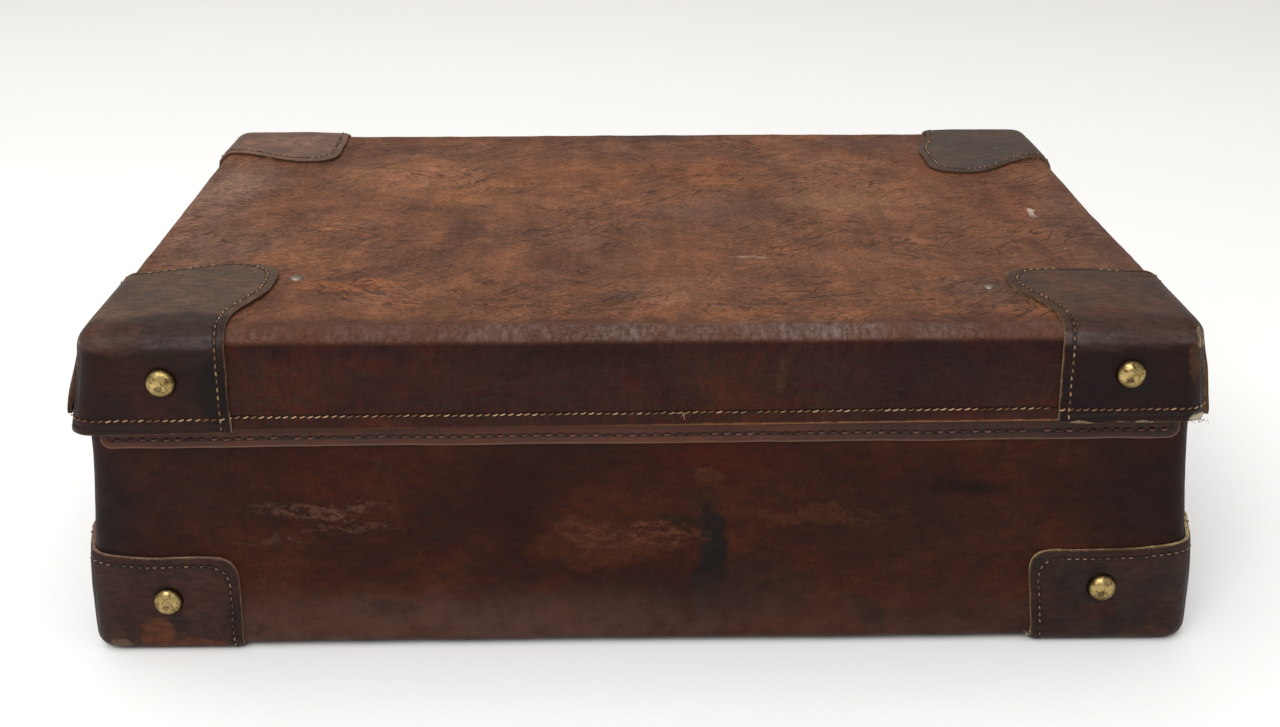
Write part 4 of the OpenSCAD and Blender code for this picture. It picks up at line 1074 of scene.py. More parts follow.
def lid_skin(material):
    """The lid's hide: top, rolled edges, walls with a pressed line for the stitches, and inside face."""
    nx, ny, arc = 240, 164, 12
    ring = box_ring(LID_CORE, nx, ny, arc)
    count = len(ring[0])
    inner = LID_R - LID_T
    edge_z = TOP_Z - LID_EDGE_R
    profile = arc_profile((inner - 6.2 * MM, edge_z), 6.2 * MM, 0, 90, 5)
    profile += [(inner, z) for z in np.linspace(edge_z - 5 * MM, SEAM_Z + 2.5 * MM, 6)]
    profile += [(inner, SEAM_Z + 0.9 * MM), (inner + 0.3 * MM, SEAM_Z + 0.25 * MM),
                (inner + 0.9 * MM, SEAM_Z), (LID_R - 0.9 * MM, SEAM_Z),
                (LID_R - 0.3 * MM, SEAM_Z + 0.25 * MM), (LID_R, SEAM_Z + 0.9 * MM)]
    inside_rows = len(profile)
    groove = LID_STITCH_UP / MM
    for up in [2, 3.6, 5.2, groove - 1.3, groove - 0.6, groove, groove + 0.6, groove + 1.3, groove + 3]:
        profile.append((LID_R - (0.4 * MM if up == groove else 0), SEAM_Z + up * MM))
    profile += [(LID_R, z) for z in np.linspace(SEAM_Z + (groove + 5) * MM, edge_z - 2 * MM, 13)]
    profile += arc_profile((LID_R - LID_EDGE_R, edge_z), LID_EDGE_R, 90, 0, 10)
    points = stacked_rings(ring, LID_MID, profile)
    quads = ring_faces(count, len(profile))
    points, top = cap(points, count * (len(profile) - 1), (nx + arc, ny + arc), flip=False)
    quads = np.concatenate([quads, top])
    points, tris = fan(points, 0, count, flip=True)
    foot = points[:, 2] - SEAM_Z
    points = lid_settled(points)
    normals = normals_of(points, quads, tris)
    index = np.arange(len(points))
    outside = (index >= count * inside_rows) & (index < len(points) - 1)
    soft = np.where(outside, 1.0, 0.0)[:, None]
    shift = (0.16 * MM * layered(points, 0.020, 21, 3)
             + 0.10 * MM * layered(points, (0.010, 0.0065, 0.0065), 23, 2))
    # puckers where the hide was drawn over the edge along the hinge side
    turned = (ease(points[:, 1], REAR_Y - 0.026, REAR_Y - 0.004)
              * ease(points[:, 2], TOP_Z - 0.030, TOP_Z - 0.008))
    most = 0.35 + 0.65 * ease(points[:, 0], 0.10, -0.05)
    pucker = (np.abs(noise(points, (0.0075, 0.030, 0.030), 25))
              + 0.5 * np.abs(noise(points, (0.0042, 0.02, 0.02), 26)))
    shift = shift - 0.75 * MM * turned * most * pucker
    points = points + normals * soft * shift[:, None]
    piece = mesh_piece("lid_hide", points, [*quads, *tris], [material],
                       values={"foot": foot}, sharp=70)
    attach(piece, "lid")
    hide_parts("lid_shell")


def base_skin(material):
    """The base's hide: bottom, walls and their top edge."""
    nx, ny, arc = 190, 128, 8
    ring = box_ring(BASE_CORE, nx, ny, arc)
    count = len(ring[0])
    low, top = base_low.z, base_high.z
    corner = low + BASE_EDGE_R
    profile = [(BASE_R - BASE_EDGE_R + BASE_EDGE_R * math.sin(a), corner - BASE_EDGE_R * math.cos(a))
               for a in np.radians(np.linspace(0, 90, 7))]
    profile += [(BASE_R, z) for z in np.linspace(corner + 2.5 * MM, top - 1 * MM, 46)]
    outside_rows = len(profile)
    profile += [(BASE_R - 0.6 * MM, top), (BASE_R - BASE_T + 0.3 * MM, top), (BASE_R - BASE_T, top - 1 * MM)]
    profile += [(BASE_R - BASE_T, z) for z in (0.10, 0.05, low + BASE_T)]
    points = stacked_rings(ring, BASE_MID, profile)
    quads = ring_faces(count, len(profile))
    points, under = cap(points, 0, (nx + arc, ny + arc), flip=True)
    quads = np.concatenate([quads, under])
    points, tris = fan(points, count * (len(profile) - 1), count, flip=False)
    points = base_settled(points)
    normals = normals_of(points, quads, tris)
    outer = np.where(points[:, 2] < 0.128, 1.0, 0.0)
    outer[count * outside_rows:count * len(profile)] = 0
    outer[-1] = 0
    shift = 0.14 * MM * layered(points, 0.024, 31, 3) + 0.07 * MM * layered(points, 0.008, 33, 2)
    points = points + normals * (outer * shift)[:, None]
    piece = mesh_piece("base_hide", points, [*quads, *tris], [material], sharp=70)
    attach(piece, "case_base")
    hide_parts("base_shell")


# ---------------------------------------------------------------- corner patches

def borders(faces):
    """The directed edges that only one face has."""
    edges = {(f[k], f[(k + 1) % len(f)]) for f in faces for k in range(len(f))}
    return sorted((a, b) for a, b in edges if (b, a) not in edges)


def corner_sheet(core, mid, side, end, reach, step, arc, profile, downwards):
    """The surface round one corner: walls by the profile's rows, then the flat that the last row leads to.

    Returns points, quads, and for each point how far it is along the wall from the corner's middle line.
    """
    ny, nx = int(round(reach[1] / step)), int(round(reach[0] / step))
    cx, cy = core
    cores = [(cx, cy - reach[1] * (1 - k / ny)) for k in range(ny)]
    outs = [(1, 0)] * ny
    for a in np.radians(np.linspace(0, 90, arc + 1)):
        cores.append((cx, cy))
        outs.append((math.cos(a), math.sin(a)))
    cores += [(cx - reach[0] * k / nx, cy) for k in range(1, nx + 1)]
    outs += [(0, 1)] * nx
    cores, outs = np.array(cores), np.array(outs)
    n = len(cores)
    rows = [np.column_stack([cores + outs * r, np.full(n, z)]) for r, z in profile]
    points = np.concatenate(rows)
    quads = ring_faces(n, len(profile), closed=False)
    wall_r = max(r for r, z in profile)
    turn = np.concatenate([np.linspace(-reach[1], 0, ny + 1)[:-1] - wall_r * math.pi / 4,
                           np.linspace(-wall_r * math.pi / 4, wall_r * math.pi / 4, arc + 1),
                           np.linspace(0, reach[0], nx + 1)[1:] + wall_r * math.pi / 4])
    along = np.tile(turn, len(profile))
    first, middle = n * (len(profile) - 1), ny + arc // 2
    a_to_b = first + np.arange(middle, n)
    a_to_d = first + np.arange(middle, -1, -1)
    b, d = points[a_to_b[-1]], points[a_to_d[-1]]
    c = np.array([b[0], d[1], b[2]])
    b_to_c = b + (c - b) * np.linspace(0, 1, len(a_to_d))[:, None]
    d_to_c = d + (c - d) * np.linspace(0, 1, len(a_to_b))[:, None]
    grid = filled_grid(points[a_to_b], b_to_c, d_to_c, points[a_to_d])
    index = np.zeros(grid.shape[:2], np.int64)
    index[0], index[:, 0] = a_to_b, a_to_d
    added = np.arange((len(a_to_d) - 1) * (len(a_to_b) - 1))
    index[1:, 1:] = len(points) + added.reshape(index[1:, 1:].shape)
    points = np.concatenate([points, grid[1:, 1:].reshape(-1, 3)])
    along = np.concatenate([along, np.full(len(points) - len(along), 1.0)])
    flat = np.stack([index[:-1, :-1], index[:-1, 1:], index[1:, 1:], index[1:, :-1]], -1).reshape(-1, 4)
    quads = np.concatenate([quads, flat])
    if (side * end < 0) != downwards:
        quads = quads[:, ::-1]
    points[:, 0] *= side
    points[:, 1] = mid[1] + end * points[:, 1]
    return points, quads, along


def lift_at(rim):
    """How far a patch's outer face stands off at a distance from its cut edge, which is skived thinner."""
    return PATCH_T * (0.62 + 0.38 * ease(rim, 0, 2.6 * MM))


def hide_patch(name, node, points, quads, settled, outline, slit, foot, flare, materials, body, thread, pitch,
               seed):
    """A patch cut from the surface where outline, slit and foot are above 0, with a row of stitches in it.

    flare is how far each point stands off, and settled moves points as the lid or the base has settled.
    """
    placed = settled(points)
    normals = normals_of(placed, quads)
    carried = {"o": outline, "s": slit, "f": foot, "e": flare,
               "x": normals[:, 0], "y": normals[:, 1], "z": normals[:, 2]}
    cut, faces, v, _ = trim(placed, quads, np.minimum(np.minimum(outline, slit), foot), carried)
    out = np.column_stack([v["x"], v["y"], v["z"]])
    out /= np.linalg.norm(out, axis=1, keepdims=True)
    rim = np.minimum(np.minimum(v["o"], v["s"]), v["f"])
    wave = layered(cut, 0.012, seed, 3)
    curl = 0.35 * MM * ease(rim, 5 * MM, 0) * np.clip(noise(cut, 0.02, seed + 1), 0, 1)
    groove = 0.30 * MM * ease(np.abs(v["o"] - PATCH_STITCH_IN), 1.5 * MM, 0)
    high = lift_at(rim) + v["e"] + curl + 0.10 * MM * wave - groove
    low = -0.3 * MM + v["e"] + curl
    patch = slab(name, cut, faces, borders(faces), out, high, low, rim, materials)
    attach(patch, body)
    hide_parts(node)
    face = cut + out * high[:, None]
    runs = []
    for k, (i, j, t) in enumerate(contour(face, faces, v["o"], PATCH_STITCH_IN)):
        line = face[i] * (1 - t)[:, None] + face[j] * t[:, None]
        up = out[i] * (1 - t)[:, None] + out[j] * t[:, None]
        runs.append(thread_run(line, up, pitch, pitch * 0.66, 0.95 * MM, slant=0.12, seed=seed + k))
    thread_piece = stitch_piece(name + "_stitches", runs, thread, body)


def lid_patch(side, end, x_wall, x_lobe, y_wall, y_lobe, round_off, slit_top, flares, materials, thread,
              seed):
    """One of the lid's corner patches, with its upright seam a little way round the side.

    x_wall and y_wall are its reach from the corner on the walls, x_lobe and y_lobe its reach on the top.
    flares are how far the seam's two edges stand off, on the side wall and on the other.
    """
    name = f"patch_lid_{'rear' if end == REAR else 'front'}_{'left' if side == LEFT else 'right'}"
    foot_z = SEAM_Z - 1.6 * MM
    edge_z = TOP_Z - LID_EDGE_R
    profile = [(LID_R, z) for z in np.linspace(foot_z, edge_z, 36)]
    profile += arc_profile((LID_R - LID_EDGE_R, edge_z), LID_EDGE_R, 90, 0, 10)[1:]
    reach = (x_lobe + 12 * MM, max(y_lobe, y_wall) + 12 * MM)
    points, quads, along = corner_sheet(LID_CORE, LID_MID, side, end, reach, 1.6 * MM, 24, profile, False)
    p = LID_HALF[0] - side * points[:, 0]
    q = LID_HALF[1] - end * (points[:, 1] - LID_MID[1])
    wander = 0.5 * MM * layered(points, 0.020, seed, 3)
    x_edge = x_wall + (x_lobe - x_wall) * ease(q, 15 * MM, 62 * MM)
    y_edge = y_wall + (y_lobe - y_wall) * ease(p, 8 * MM, 62 * MM)
    outline = soft_min(x_edge - p, y_edge - q, round_off) + wander
    flat = along > 0.5
    along = along + 5.2 * MM
    half = 0.45 * MM - 4 * MM * ease(points[:, 2], slit_top - 3 * MM, slit_top + 6 * MM)
    slit = np.abs(along) - half + 0.25 * MM * noise(points, 0.006, seed + 3)
    slit[flat] = 0.05
    near = ease(np.abs(along), 22 * MM, 0) * ease(points[:, 2], slit_top + 3 * MM, slit_top - 26 * MM)
    flare = near * np.where(along < 0, flares[0], flares[1]) * ~flat
    foot = points[:, 2] - (SEAM_Z - 0.6 * MM) + 0.5 * MM * layered(points, 0.016, seed + 5, 3)
    outline = np.where(foot < 12 * MM, soft_min(outline, foot + 6 * MM, 5 * MM), outline)
    if (side, end) == (LEFT, REAR):
        foot = foot - 7 * MM * ease(along, -26 * MM, -8 * MM) * (along < 0)
    hide_patch(name, "lid_" + name.replace("patch_lid", "patch"), points, quads, lid_settled, outline,
               slit, foot, flare, materials, "lid", thread, 4.2 * MM, seed)


def base_patch(side, end, x_edge, y_edge, rear_h, side_h, corner_h, flares, materials, thread, seed,
               lean=0.0):
    """One of the base's corner patches. x_edge and y_edge are its reach from the corner, rear_h, side_h and
    corner_h its heights on the hinge or handle side, on the side wall and at the corner's seam."""
    name = f"patch_base_{'rear' if end == REAR else 'front'}_{'left' if side == LEFT else 'right'}"
    low = base_low.z
    corner = low + BASE_EDGE_R
    top = corner_h + 4 * MM
    profile = [(BASE_R, z) for z in np.linspace(top, corner, 40)]
    profile += [(BASE_R - BASE_EDGE_R + BASE_EDGE_R * math.cos(a), corner - BASE_EDGE_R * math.sin(a))
                for a in np.radians(np.linspace(0, 90, 8))][1:]
    reach = (x_edge + 10 * MM, y_edge + 10 * MM)
    points, quads, along = corner_sheet(BASE_CORE, BASE_MID, side, end, reach, 1.6 * MM, 18, profile, True)
    p = BASE_HALF[0] - side * points[:, 0]
    q = BASE_HALF[1] - end * (points[:, 1] - BASE_MID[1])
    z = points[:, 2]
    wander = 0.45 * MM * layered(points, 0.018, seed, 3)
    wall = along < 0.5
    along = along + 6.5 * MM
    height = np.where(along < 0, side_h + (corner_h - side_h) * ease(along, -0.050, -0.006),
                      rear_h + 3 * MM * ease(along, 0.030, 0.004))
    x_edge = x_edge - lean * (1 - z / rear_h)
    outline = soft_min(x_edge - p, y_edge - q, np.where(wall, 4 * MM, 22 * MM))
    outline = np.where(wall, soft_min(outline, height - z, 13 * MM), outline) + wander
    slit = np.abs(along) - 0.42 * MM + 0.2 * MM * noise(points, 0.006, seed + 3)
    slit = np.where(z < corner - 1 * MM, slit + 6 * MM * ease(z, corner - 1 * MM, low), slit)
    slit[~wall] = 0.05
    near = ease(np.abs(along), 16 * MM, 0) * ease(z, corner_h - 2 * MM, corner_h - 16 * MM) * wall
    flare = near * np.where(along < 0, flares[0], flares[1]) * ease(z, low, corner + 6 * MM)
    foot = np.full(len(points), 0.05)
    hide_patch(name, "base_" + name.replace("patch_base", "patch"), points, quads, base_settled, outline,
               slit, foot, flare, materials, "case_base", thread, 4.0 * MM, seed)


# ---------------------------------------------------------------- hinge strip and rows of stitches

def hinge_strip(material, edge, thread):
    """The strip sewn along the hinge side, its lower half on the base and its upper half inside the lid."""
    half, low, high, corner, t = 272.4 * MM, 117.5 * MM, 143.5 * MM, 5.5 * MM, 2.0 * MM
    xs = np.linspace(-half - 1 * MM, half + 1 * MM, 440)
    zs = np.linspace(low - 1 * MM, high, 22)
    grid_x, grid_z = np.meshgrid(xs, zs)
    x, z = grid_x.ravel(), grid_z.ravel()
    bend = ease(z, 0.1268, 0.1308)
    y = BASE_REAR_Y + 0.05 * MM + (REAR_Y - LID_T - t - BASE_REAR_Y) * bend
    points = np.column_stack([x, y, z])
    n = len(xs)
    quads = ring_faces(n, len(zs), closed=False)[:, ::-1]
    lowest = low + (0.75 - 0.75 * x / half) * MM + 0.35 * MM * layered(points, 0.03, 41, 2)
    a, b = half - np.abs(x), z - lowest
    rounded = corner - np.hypot(np.maximum(corner - a, 0), np.maximum(corner - b, 0))
    field = np.where((a < corner) & (b < corner), rounded, np.minimum(a, b))
    shown = ease(z, 0.1275, 0.1245)
    y_more = shown * 0.35 * MM * layered(points, (0.03, 0.03, 0.012), 43, 3)
    carried = {"f": field, "w": y_more, "s": shown}
    cut, faces, v, _ = trim(points, quads, field, carried)
    out = np.tile([0.0, 1.0, 0.0], (len(cut), 1))
    high_face = t * (0.75 + 0.25 * ease(v["f"], 0, 2 * MM)) + v["w"]
    groove = 0.45 * MM * v["s"] * ease(np.abs(v["f"] - STRIP_STITCH_IN), 1.8 * MM, 0)
    high_face = high_face - groove
    strip = slab("hinge_strip", cut, faces, borders(faces), out, high_face, np.zeros(len(cut)), v["f"],
                 [material, edge])
    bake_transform(strip)
    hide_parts("hinge_strip_base", "hinge_strip_lid")
    face = cut + out * high_face[:, None]
    runs = []
    for k, (i, j, t2) in enumerate(contour(face, faces, v["f"], STRIP_STITCH_IN)):
        line = face[i] * (1 - t2)[:, None] + face[j] * t2[:, None]
        line = line[line[:, 2] < 0.1255]
        if len(line) > 20:
            runs.append(thread_run(line, np.tile([0.0, 1.0, 0.0], (len(line), 1)), 6 * MM, 4.2 * MM, 1.3 * MM,
                                   slant=0.10, lift=0.40, seed=45 + k))
    row = stitch_piece("hinge_strip_stitches", runs, thread, "case_base")


def lid_edge_stitches(thread, outlines):
    """The row of stitches all round the lid's edge, up over the corner patches."""
    core, out = box_ring(LID_CORE, 530, 362, 28)
    start = len(core) // 2 + 40
    core, out = np.roll(core, -start, axis=0), np.roll(out, -start, axis=0)
    xy = core + out * LID_R + LID_MID
    z = SEAM_Z + LID_STITCH_UP + 0.25 * MM * layered(np.column_stack([xy, xy[:, 0]]), 0.03, 51, 2)
    points = lid_settled(np.column_stack([xy, z]))
    up = np.column_stack([out, np.zeros(len(out))])
    raised = np.zeros(len(points))
    for (side, end), (x_wall, y_wall) in outlines.items():
        p = LID_HALF[0] - side * points[:, 0]
        q = LID_HALF[1] - end * (points[:, 1] - LID_MID[1])
        inside = np.minimum(x_wall - p, y_wall - q)
        raised = np.maximum(raised, lift_at(inside) * ease(inside, -0.4 * MM, 0.4 * MM))
    points = points + up * raised[:, None]
    row = stitch_piece("lid_edge_stitches", [thread_run(points, up, 4.0 * MM, 3.7 * MM, 0.82 * MM, slant=0.32,
                                                        lift=0.38, seed=53)], thread, "lid")


# ---------------------------------------------------------------- brass feet, grip, edging, linings

def dented_studs(name, node, spots, face_y, material, body):
    """Domed brass feet, each with its own knocks."""
    points, faces = [], []
    rings, sides = 18, 56
    radius, height, band = STUD_R, 5.3 * MM, 0.3 * MM
    clean = []
    for k, (x, z) in enumerate(spots):
        start = len(points)
        local = [(0.0, 0.0, height)]
        for r in range(1, rings + 1):
            a = math.pi / 2 * r / rings
            for q in range(sides):
                b = 2 * math.pi * q / sides
                local.append((radius * math.sin(a) * math.cos(b), radius * math.sin(a) * math.sin(b),
                              band + (height - band) * math.cos(a)))
        for q in range(sides):
            b = 2 * math.pi * q / sides
            local.append((radius * math.cos(b), radius * math.sin(b), -0.6 * MM))
        local = np.array(local)
        out = local / np.maximum(np.linalg.norm(local, axis=1, keepdims=True), 1e-9)
        moved = local + out * (0.16 * MM * layered(local + 0.05 * k, 0.0042, 61 + k, 3))[:, None]
        rng = np.random.default_rng(71 + 5 * k)
        for _ in range(7):
            where = rng.normal(0, 0.42, 2) * radius
            size = rng.uniform(0.9, 2.2) * MM
            near = np.exp(-((local[:, 0] - where[0]) ** 2 + (local[:, 1] - where[1]) ** 2) / size ** 2)
            moved[:, 2] -= rng.uniform(0.15, 0.45) * MM * near * (local[:, 2] > 0)
        # a deep ragged knock a little below the middle
        knock = np.array([0.10, -0.22]) * radius + rng.normal(0, 0.4, 2) * MM
        apart = local[:, :2] - knock
        reach = (1.9 + 0.5 * noise(local + 0.1 * k, 0.0015, 75 + k)) * MM
        deep = np.exp(-(np.hypot(apart[:, 0], apart[:, 1] * 1.2) / reach) ** 4) * (local[:, 2] > 0)
        moved[:, 2] -= 0.55 * MM * deep * (0.6 + 0.4 * noise(local, 0.0011, 77 + k))
        rim = np.hypot(local[:, 0], local[:, 1]) / radius
        # clean: rubbed bright on the dome and tarnished in the knock; darker towards the rim as tarnish and
        # painted shade, and lighter on the upper half than the lower as painted light and shade
        clean += list(ease(rim, 1.04, 0.70) * (1 - 0.55 * ease(deep, 0.15, 0.6))
                      * (0.78 + 0.22 * local[:, 1] / radius))
        # turning the dome from +Z to +Y mirrors it, so its faces are wound the other way
        points += [(x + p[0], face_y + p[2], z + p[1]) for p in moved]
        faces += [(start, start + 1 + (q + 1) % sides, start + 1 + q) for q in range(sides)]
        faces += tube(start + 1, rings + 1, sides, first_closed=False)
    piece = mesh_piece(name, points, faces, [material], values={"clean": clean})
    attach(piece, body)
    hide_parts(node)


def lid_rivets(material, spots):
    """Small flat-domed rivet heads on the lid's crowned top."""
    points, faces = [], []
    rings, sides = 8, 32
    for k, (x, y, radius) in enumerate(spots):
        top = lid_settled(np.array([[x, y, TOP_Z]]))[0]
        start = len(points)
        points.append((top[0], top[1], top[2] + 1.3 * MM))
        for r in range(1, rings + 1):
            a = math.pi / 2 * r / rings
            for q in range(sides):
                b = 2 * math.pi * q / sides
                wobble = 1 + 0.03 * math.sin(3 * b + k)
                points.append((top[0] + radius * wobble * math.sin(a) * math.cos(b),
                               top[1] + radius * wobble * math.sin(a) * math.sin(b),
                               top[2] - 0.2 * MM + 1.5 * MM * math.cos(a)))
        faces += [(start, start + 1 + q, start + 1 + (q + 1) % sides) for q in range(sides)]
        faces += [tuple(f) for f in start + 1 + ring_faces(sides, rings)[:, [0, 3, 2, 1]]]
        last = start + 1 + (rings - 1) * sides
        faces.append(tuple(last + q for q in reversed(range(sides))))
    piece = mesh_piece("lid_rivet_heads", points, faces, [material])
    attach(piece, "lid")
    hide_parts("lid_rivets")


def fray(name, spots, material, body, seed):
    """Loose fibres at worn corners. Each spot is (place, outward direction, spread, fibres, length)."""
    rng = np.random.default_rng(seed)
    points, faces, tones = [], [], []
    sides, steps = 4, 6
    settled = lid_settled if body == "lid" else base_settled
    for place, outward, spread, fibres, length in spots:
        place = settled(np.array([place], float))[0]
        outward = np.array(outward, float)
        outward /= np.linalg.norm(outward)
        for _ in range(fibres):
            at = np.array(place) + rng.normal(0, 1, 3) * np.array(spread)
            way = outward + rng.normal(0, 0.55, 3)
            way /= np.linalg.norm(way)
            curl = rng.normal(0, 0.5, 3)
            reach = length * rng.uniform(0.4, 1.2)
            thick = rng.uniform(0.10, 0.22) * MM
            tone = rng.random()
            start = len(points)
            for k in range(steps + 1):
                t = k / steps
                centre = at + way * reach * t + curl * reach * t * t * 0.5
                width = thick * (1 - 0.6 * t)
                side_a = np.cross(way, [0.3, 0.5, 0.8])
                side_a /= np.linalg.norm(side_a)
                side_b = np.cross(way, side_a)
                for q in range(sides):
                    a = 2 * math.pi * q / sides
                    points.append(centre + side_a * math.cos(a) * width + side_b * math.sin(a) * width)
            faces += tube(start, steps + 1, sides)
            tones += [tone] * (sides * (steps + 1))
    piece = mesh_piece(name, points, faces, [material], values={"tone": tones}, sharp=80)
    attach(piece, body)


def grip_middle(s):
    """The grip's middle line as (x, z) from the handle's axis, at a share s of the way along it."""
    full = math.sin(math.pi * min(max(s, 0.0005), 0.9995))
    return np.array([-72 * math.cos(math.pi * s), -12 - 33 * math.sqrt(full)]) * MM


def grip_section(s):
    """Half the grip's width in the plane of the handle, and half its depth across it."""
    full = math.sin(math.pi * s)
    return (4.2 + 5.3 * full ** 0.7) * MM, (4.2 + 6.8 * full ** 0.7) * MM


def grip(material, thread):
    """The handle's leather: an oval roll, sewn along its inside."""
    steps, sides = 150, 44
    rings, centres, edges = [], [], []
    shares = [0.012 + 0.976 * k / steps for k in range(steps + 1)]
    for s in shares:
        full = math.sin(math.pi * s)
        centre = grip_middle(s)
        along = grip_middle(s + 0.004) - grip_middle(s - 0.004)
        along /= np.linalg.norm(along)
        normal = np.array([along[1], -along[0]])
        flat, deep = grip_section(s)
        ring = []
        for q in range(sides):
            a = 2 * math.pi * q / sides
            # the seam's ridge stands towards the case
            from_seam = (math.degrees(a) + 180) % 360 - 180
            ridge = 1.3 * MM * math.exp(-from_seam ** 2 / 90.0) * min(1.0, full * 3)
            in_plane = math.cos(a) * (flat * 0.97 + ridge)
            ring.append((centre[0] + normal[0] * in_plane, -math.sin(a) * deep * 0.97,
                         centre[1] + normal[1] * in_plane))
        rings.append(ring)
        centres.append(centre)
        edges.append(normal)
    points = np.array(rings).reshape(-1, 3)
    quads = ring_faces(sides, steps + 1)
    ends = [tuple(range(sides))[::-1], tuple(steps * sides + q for q in range(sides))]
    normals = normals_of(points, quads)
    middles = np.repeat(np.array([(c[0], 0, c[1]) for c in centres]), sides, axis=0)
    if np.sum(normals * (points - middles)) < 0:
        quads = quads[:, ::-1]
        ends = [e[::-1] for e in ends]
        normals = -normals
    points = points + normals * (0.18 * MM * layered(points, 0.016, 81, 3))[:, None] + HANDLE_AXIS
    piece = mesh_piece("grip_hide", points, [*quads, *ends], [material])
    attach(piece, "handle")
    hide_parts("handle_grip")
    runs = []
    for turn_by in (math.radians(24), math.radians(-24)):
        line, up = [], []
        for k in range(10, steps - 9):
            flat, deep = grip_section(shares[k])
            normal = edges[k]
            spot = (centres[k][0] + normal[0] * math.cos(turn_by) * flat, -math.sin(turn_by) * deep,
                    centres[k][1] + normal[1] * math.cos(turn_by) * flat)
            line.append(np.array(spot) + HANDLE_AXIS)
            up.append((normal[0] * math.cos(turn_by), -math.sin(turn_by), normal[1] * math.cos(turn_by)))
        runs.append(thread_run(np.array(line), np.array(up), 4.4 * MM, 3.0 * MM, 0.9 * MM, seed=83))
    row = stitch_piece("grip_stitches", runs, thread, "handle")


def rim_edging(material, thread):
    """Hide folded over the base's mouth and down inside it."""
    nx, ny, arc = 150, 104, 12
    ring = box_ring(BASE_CORE, nx, ny, arc)
    count = len(ring[0])
    top = binding_high.z
    frame_in = 9.0 * MM
    profile = [(BASE_R - 0.2 * MM, top - 1.2 * MM), (BASE_R - 0.25 * MM, top - 0.5 * MM),
               (BASE_R - 0.8 * MM, top - 0.08 * MM), (BASE_R - 2.5 * MM, top),
               (BASE_R - 4.5 * MM, top - 0.12 * MM),
               (BASE_R - 6.5 * MM, top - 0.05 * MM), (BASE_R - 8.2 * MM, top - 0.1 * MM),
               (BASE_R - frame_in + 0.1 * MM, top - 0.7 * MM), (BASE_R - frame_in, top - 2 * MM),
               (BASE_R - frame_in, top - 5 * MM), (BASE_R - frame_in - 0.1 * MM, top - 9 * MM),
               (BASE_R - frame_in, top - 12.6 * MM), (BASE_R - frame_in + 0.4 * MM, top - 13.1 * MM),
               (BASE_R - frame_in + 1.0 * MM, top - 12.6 * MM),
               (BASE_R - frame_in + 1.0 * MM, top - 1.2 * MM)]
    points = stacked_rings(ring, BASE_MID, profile)
    rows = len(profile)
    quads = ring_faces(count, rows)
    here = np.arange(count)
    after, last = (here + 1) % count, (rows - 1) * count
    bottom = np.column_stack([last + here, last + after, after, here])
    quads = np.concatenate([quads, bottom])
    normals = normals_of(points, quads)
    seen = points[:, 2] > top - 1 * MM
    points = points + normals * (np.where(seen, 0.10, 0.06) * MM * layered(points, 0.012, 91, 3))[:, None]
    piece = mesh_piece("mouth_edging", points, quads, [material])
    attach(piece, "case_base")
    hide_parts("rim_binding")
    core, out = box_ring(BASE_CORE, 500, 340, 20)
    xy = core + out * (BASE_R - 5.6 * MM) + BASE_MID
    line = np.column_stack([xy, np.full(len(xy), top)])
    up = np.tile([0.0, 0.0, 1.0], (len(line), 1))
    row = stitch_piece("mouth_edging_stitches", [thread_run(line, up, 4.4 * MM, 3.0 * MM, 0.9 * MM, seed=93)],
                       thread, "case_base")


def lining(name, node, body, material, seed, upwards):
    """Cloth pasted over the boards: four walls and a floor, with a few soft ripples."""
    low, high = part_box(node)
    half = np.array([high.x, (high.y - low.y) / 2]) - (0 if upwards else 1.2 * MM)
    mid = np.array([0.0, (high.y + low.y) / 2])
    r, t = 8.4 * MM, 0.7 * MM
    core = half - r
    nx, ny, arc = 110, 76, 8
    ring = box_ring(core, nx, ny, arc)
    count = len(ring[0])
    closed, mouth = (low.z, high.z) if upwards else (high.z, low.z)
    toward = 1 if upwards else -1
    wall = np.linspace(closed + toward * 4 * MM, mouth, 26 if upwards else 9)
    outer = [(r - 4 * MM + 4 * MM * math.sin(a), closed + toward * (4 * MM - 4 * MM * math.cos(a)))
             for a in np.radians(np.linspace(0, 90, 5))] + [(r, z) for z in wall[1:]]
    profile = [(d - 0.1 * MM, z) for d, z in outer]
    back = [(r - t - 0.1 * MM, z) for z in wall[::-1]]
    back += [(r - t - 3.4 * MM + 3.3 * MM * math.sin(a),
              closed + toward * (t + 3.4 * MM - 3.4 * MM * math.cos(a)))
             for a in np.radians(np.linspace(80, 0, 5))]
    rows = len(profile) + len(back)
    points = stacked_rings(ring, mid, profile + back)
    quads = ring_faces(count, rows)
    if not upwards:
        quads = quads[:, ::-1]
    points, a_face = cap(points, 0, (nx + arc, ny + arc), flip=upwards)
    points, b_face = cap(points, (rows - 1) * count, (nx + arc, ny + arc), flip=not upwards)
    quads = np.concatenate([quads, a_face, b_face])
    ripple = 0.22 * MM * layered(points, (0.05, 0.035, 0.05), seed, 3)
    way = np.zeros_like(points)
    flat = np.abs(points[:, 2] - closed) < 1.2 * MM
    way[flat, 2] = toward
    side = ~flat
    gap = half[0] - np.abs(points[:, 0]) < half[1] - np.abs(points[:, 1] - mid[1])
    way[side & gap, 0] = -np.sign(points[side & gap, 0])
    way[side & ~gap, 1] = -np.sign(points[side & ~gap, 1] - mid[1])
    points = points + way * np.abs(ripple)[:, None]
    piece = mesh_piece(name, points, quads, [material])
    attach(piece, body)
    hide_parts(node)


def sharpen(node, width):
    """Joins a CAD node's split corners and rounds its edges."""
    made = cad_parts[node]
    weld = made.modifiers.new("weld", "WELD")
    weld.merge_threshold = 0.00001
    bevel = made.modifiers.new("bevel", "BEVEL")
    bevel.width = width
    bevel.segments = 2
    bevel.limit_method = "ANGLE"
    bevel.angle_limit = math.radians(38)
    bevel.use_clamp_overlap = True
    bevel.harden_normals = False


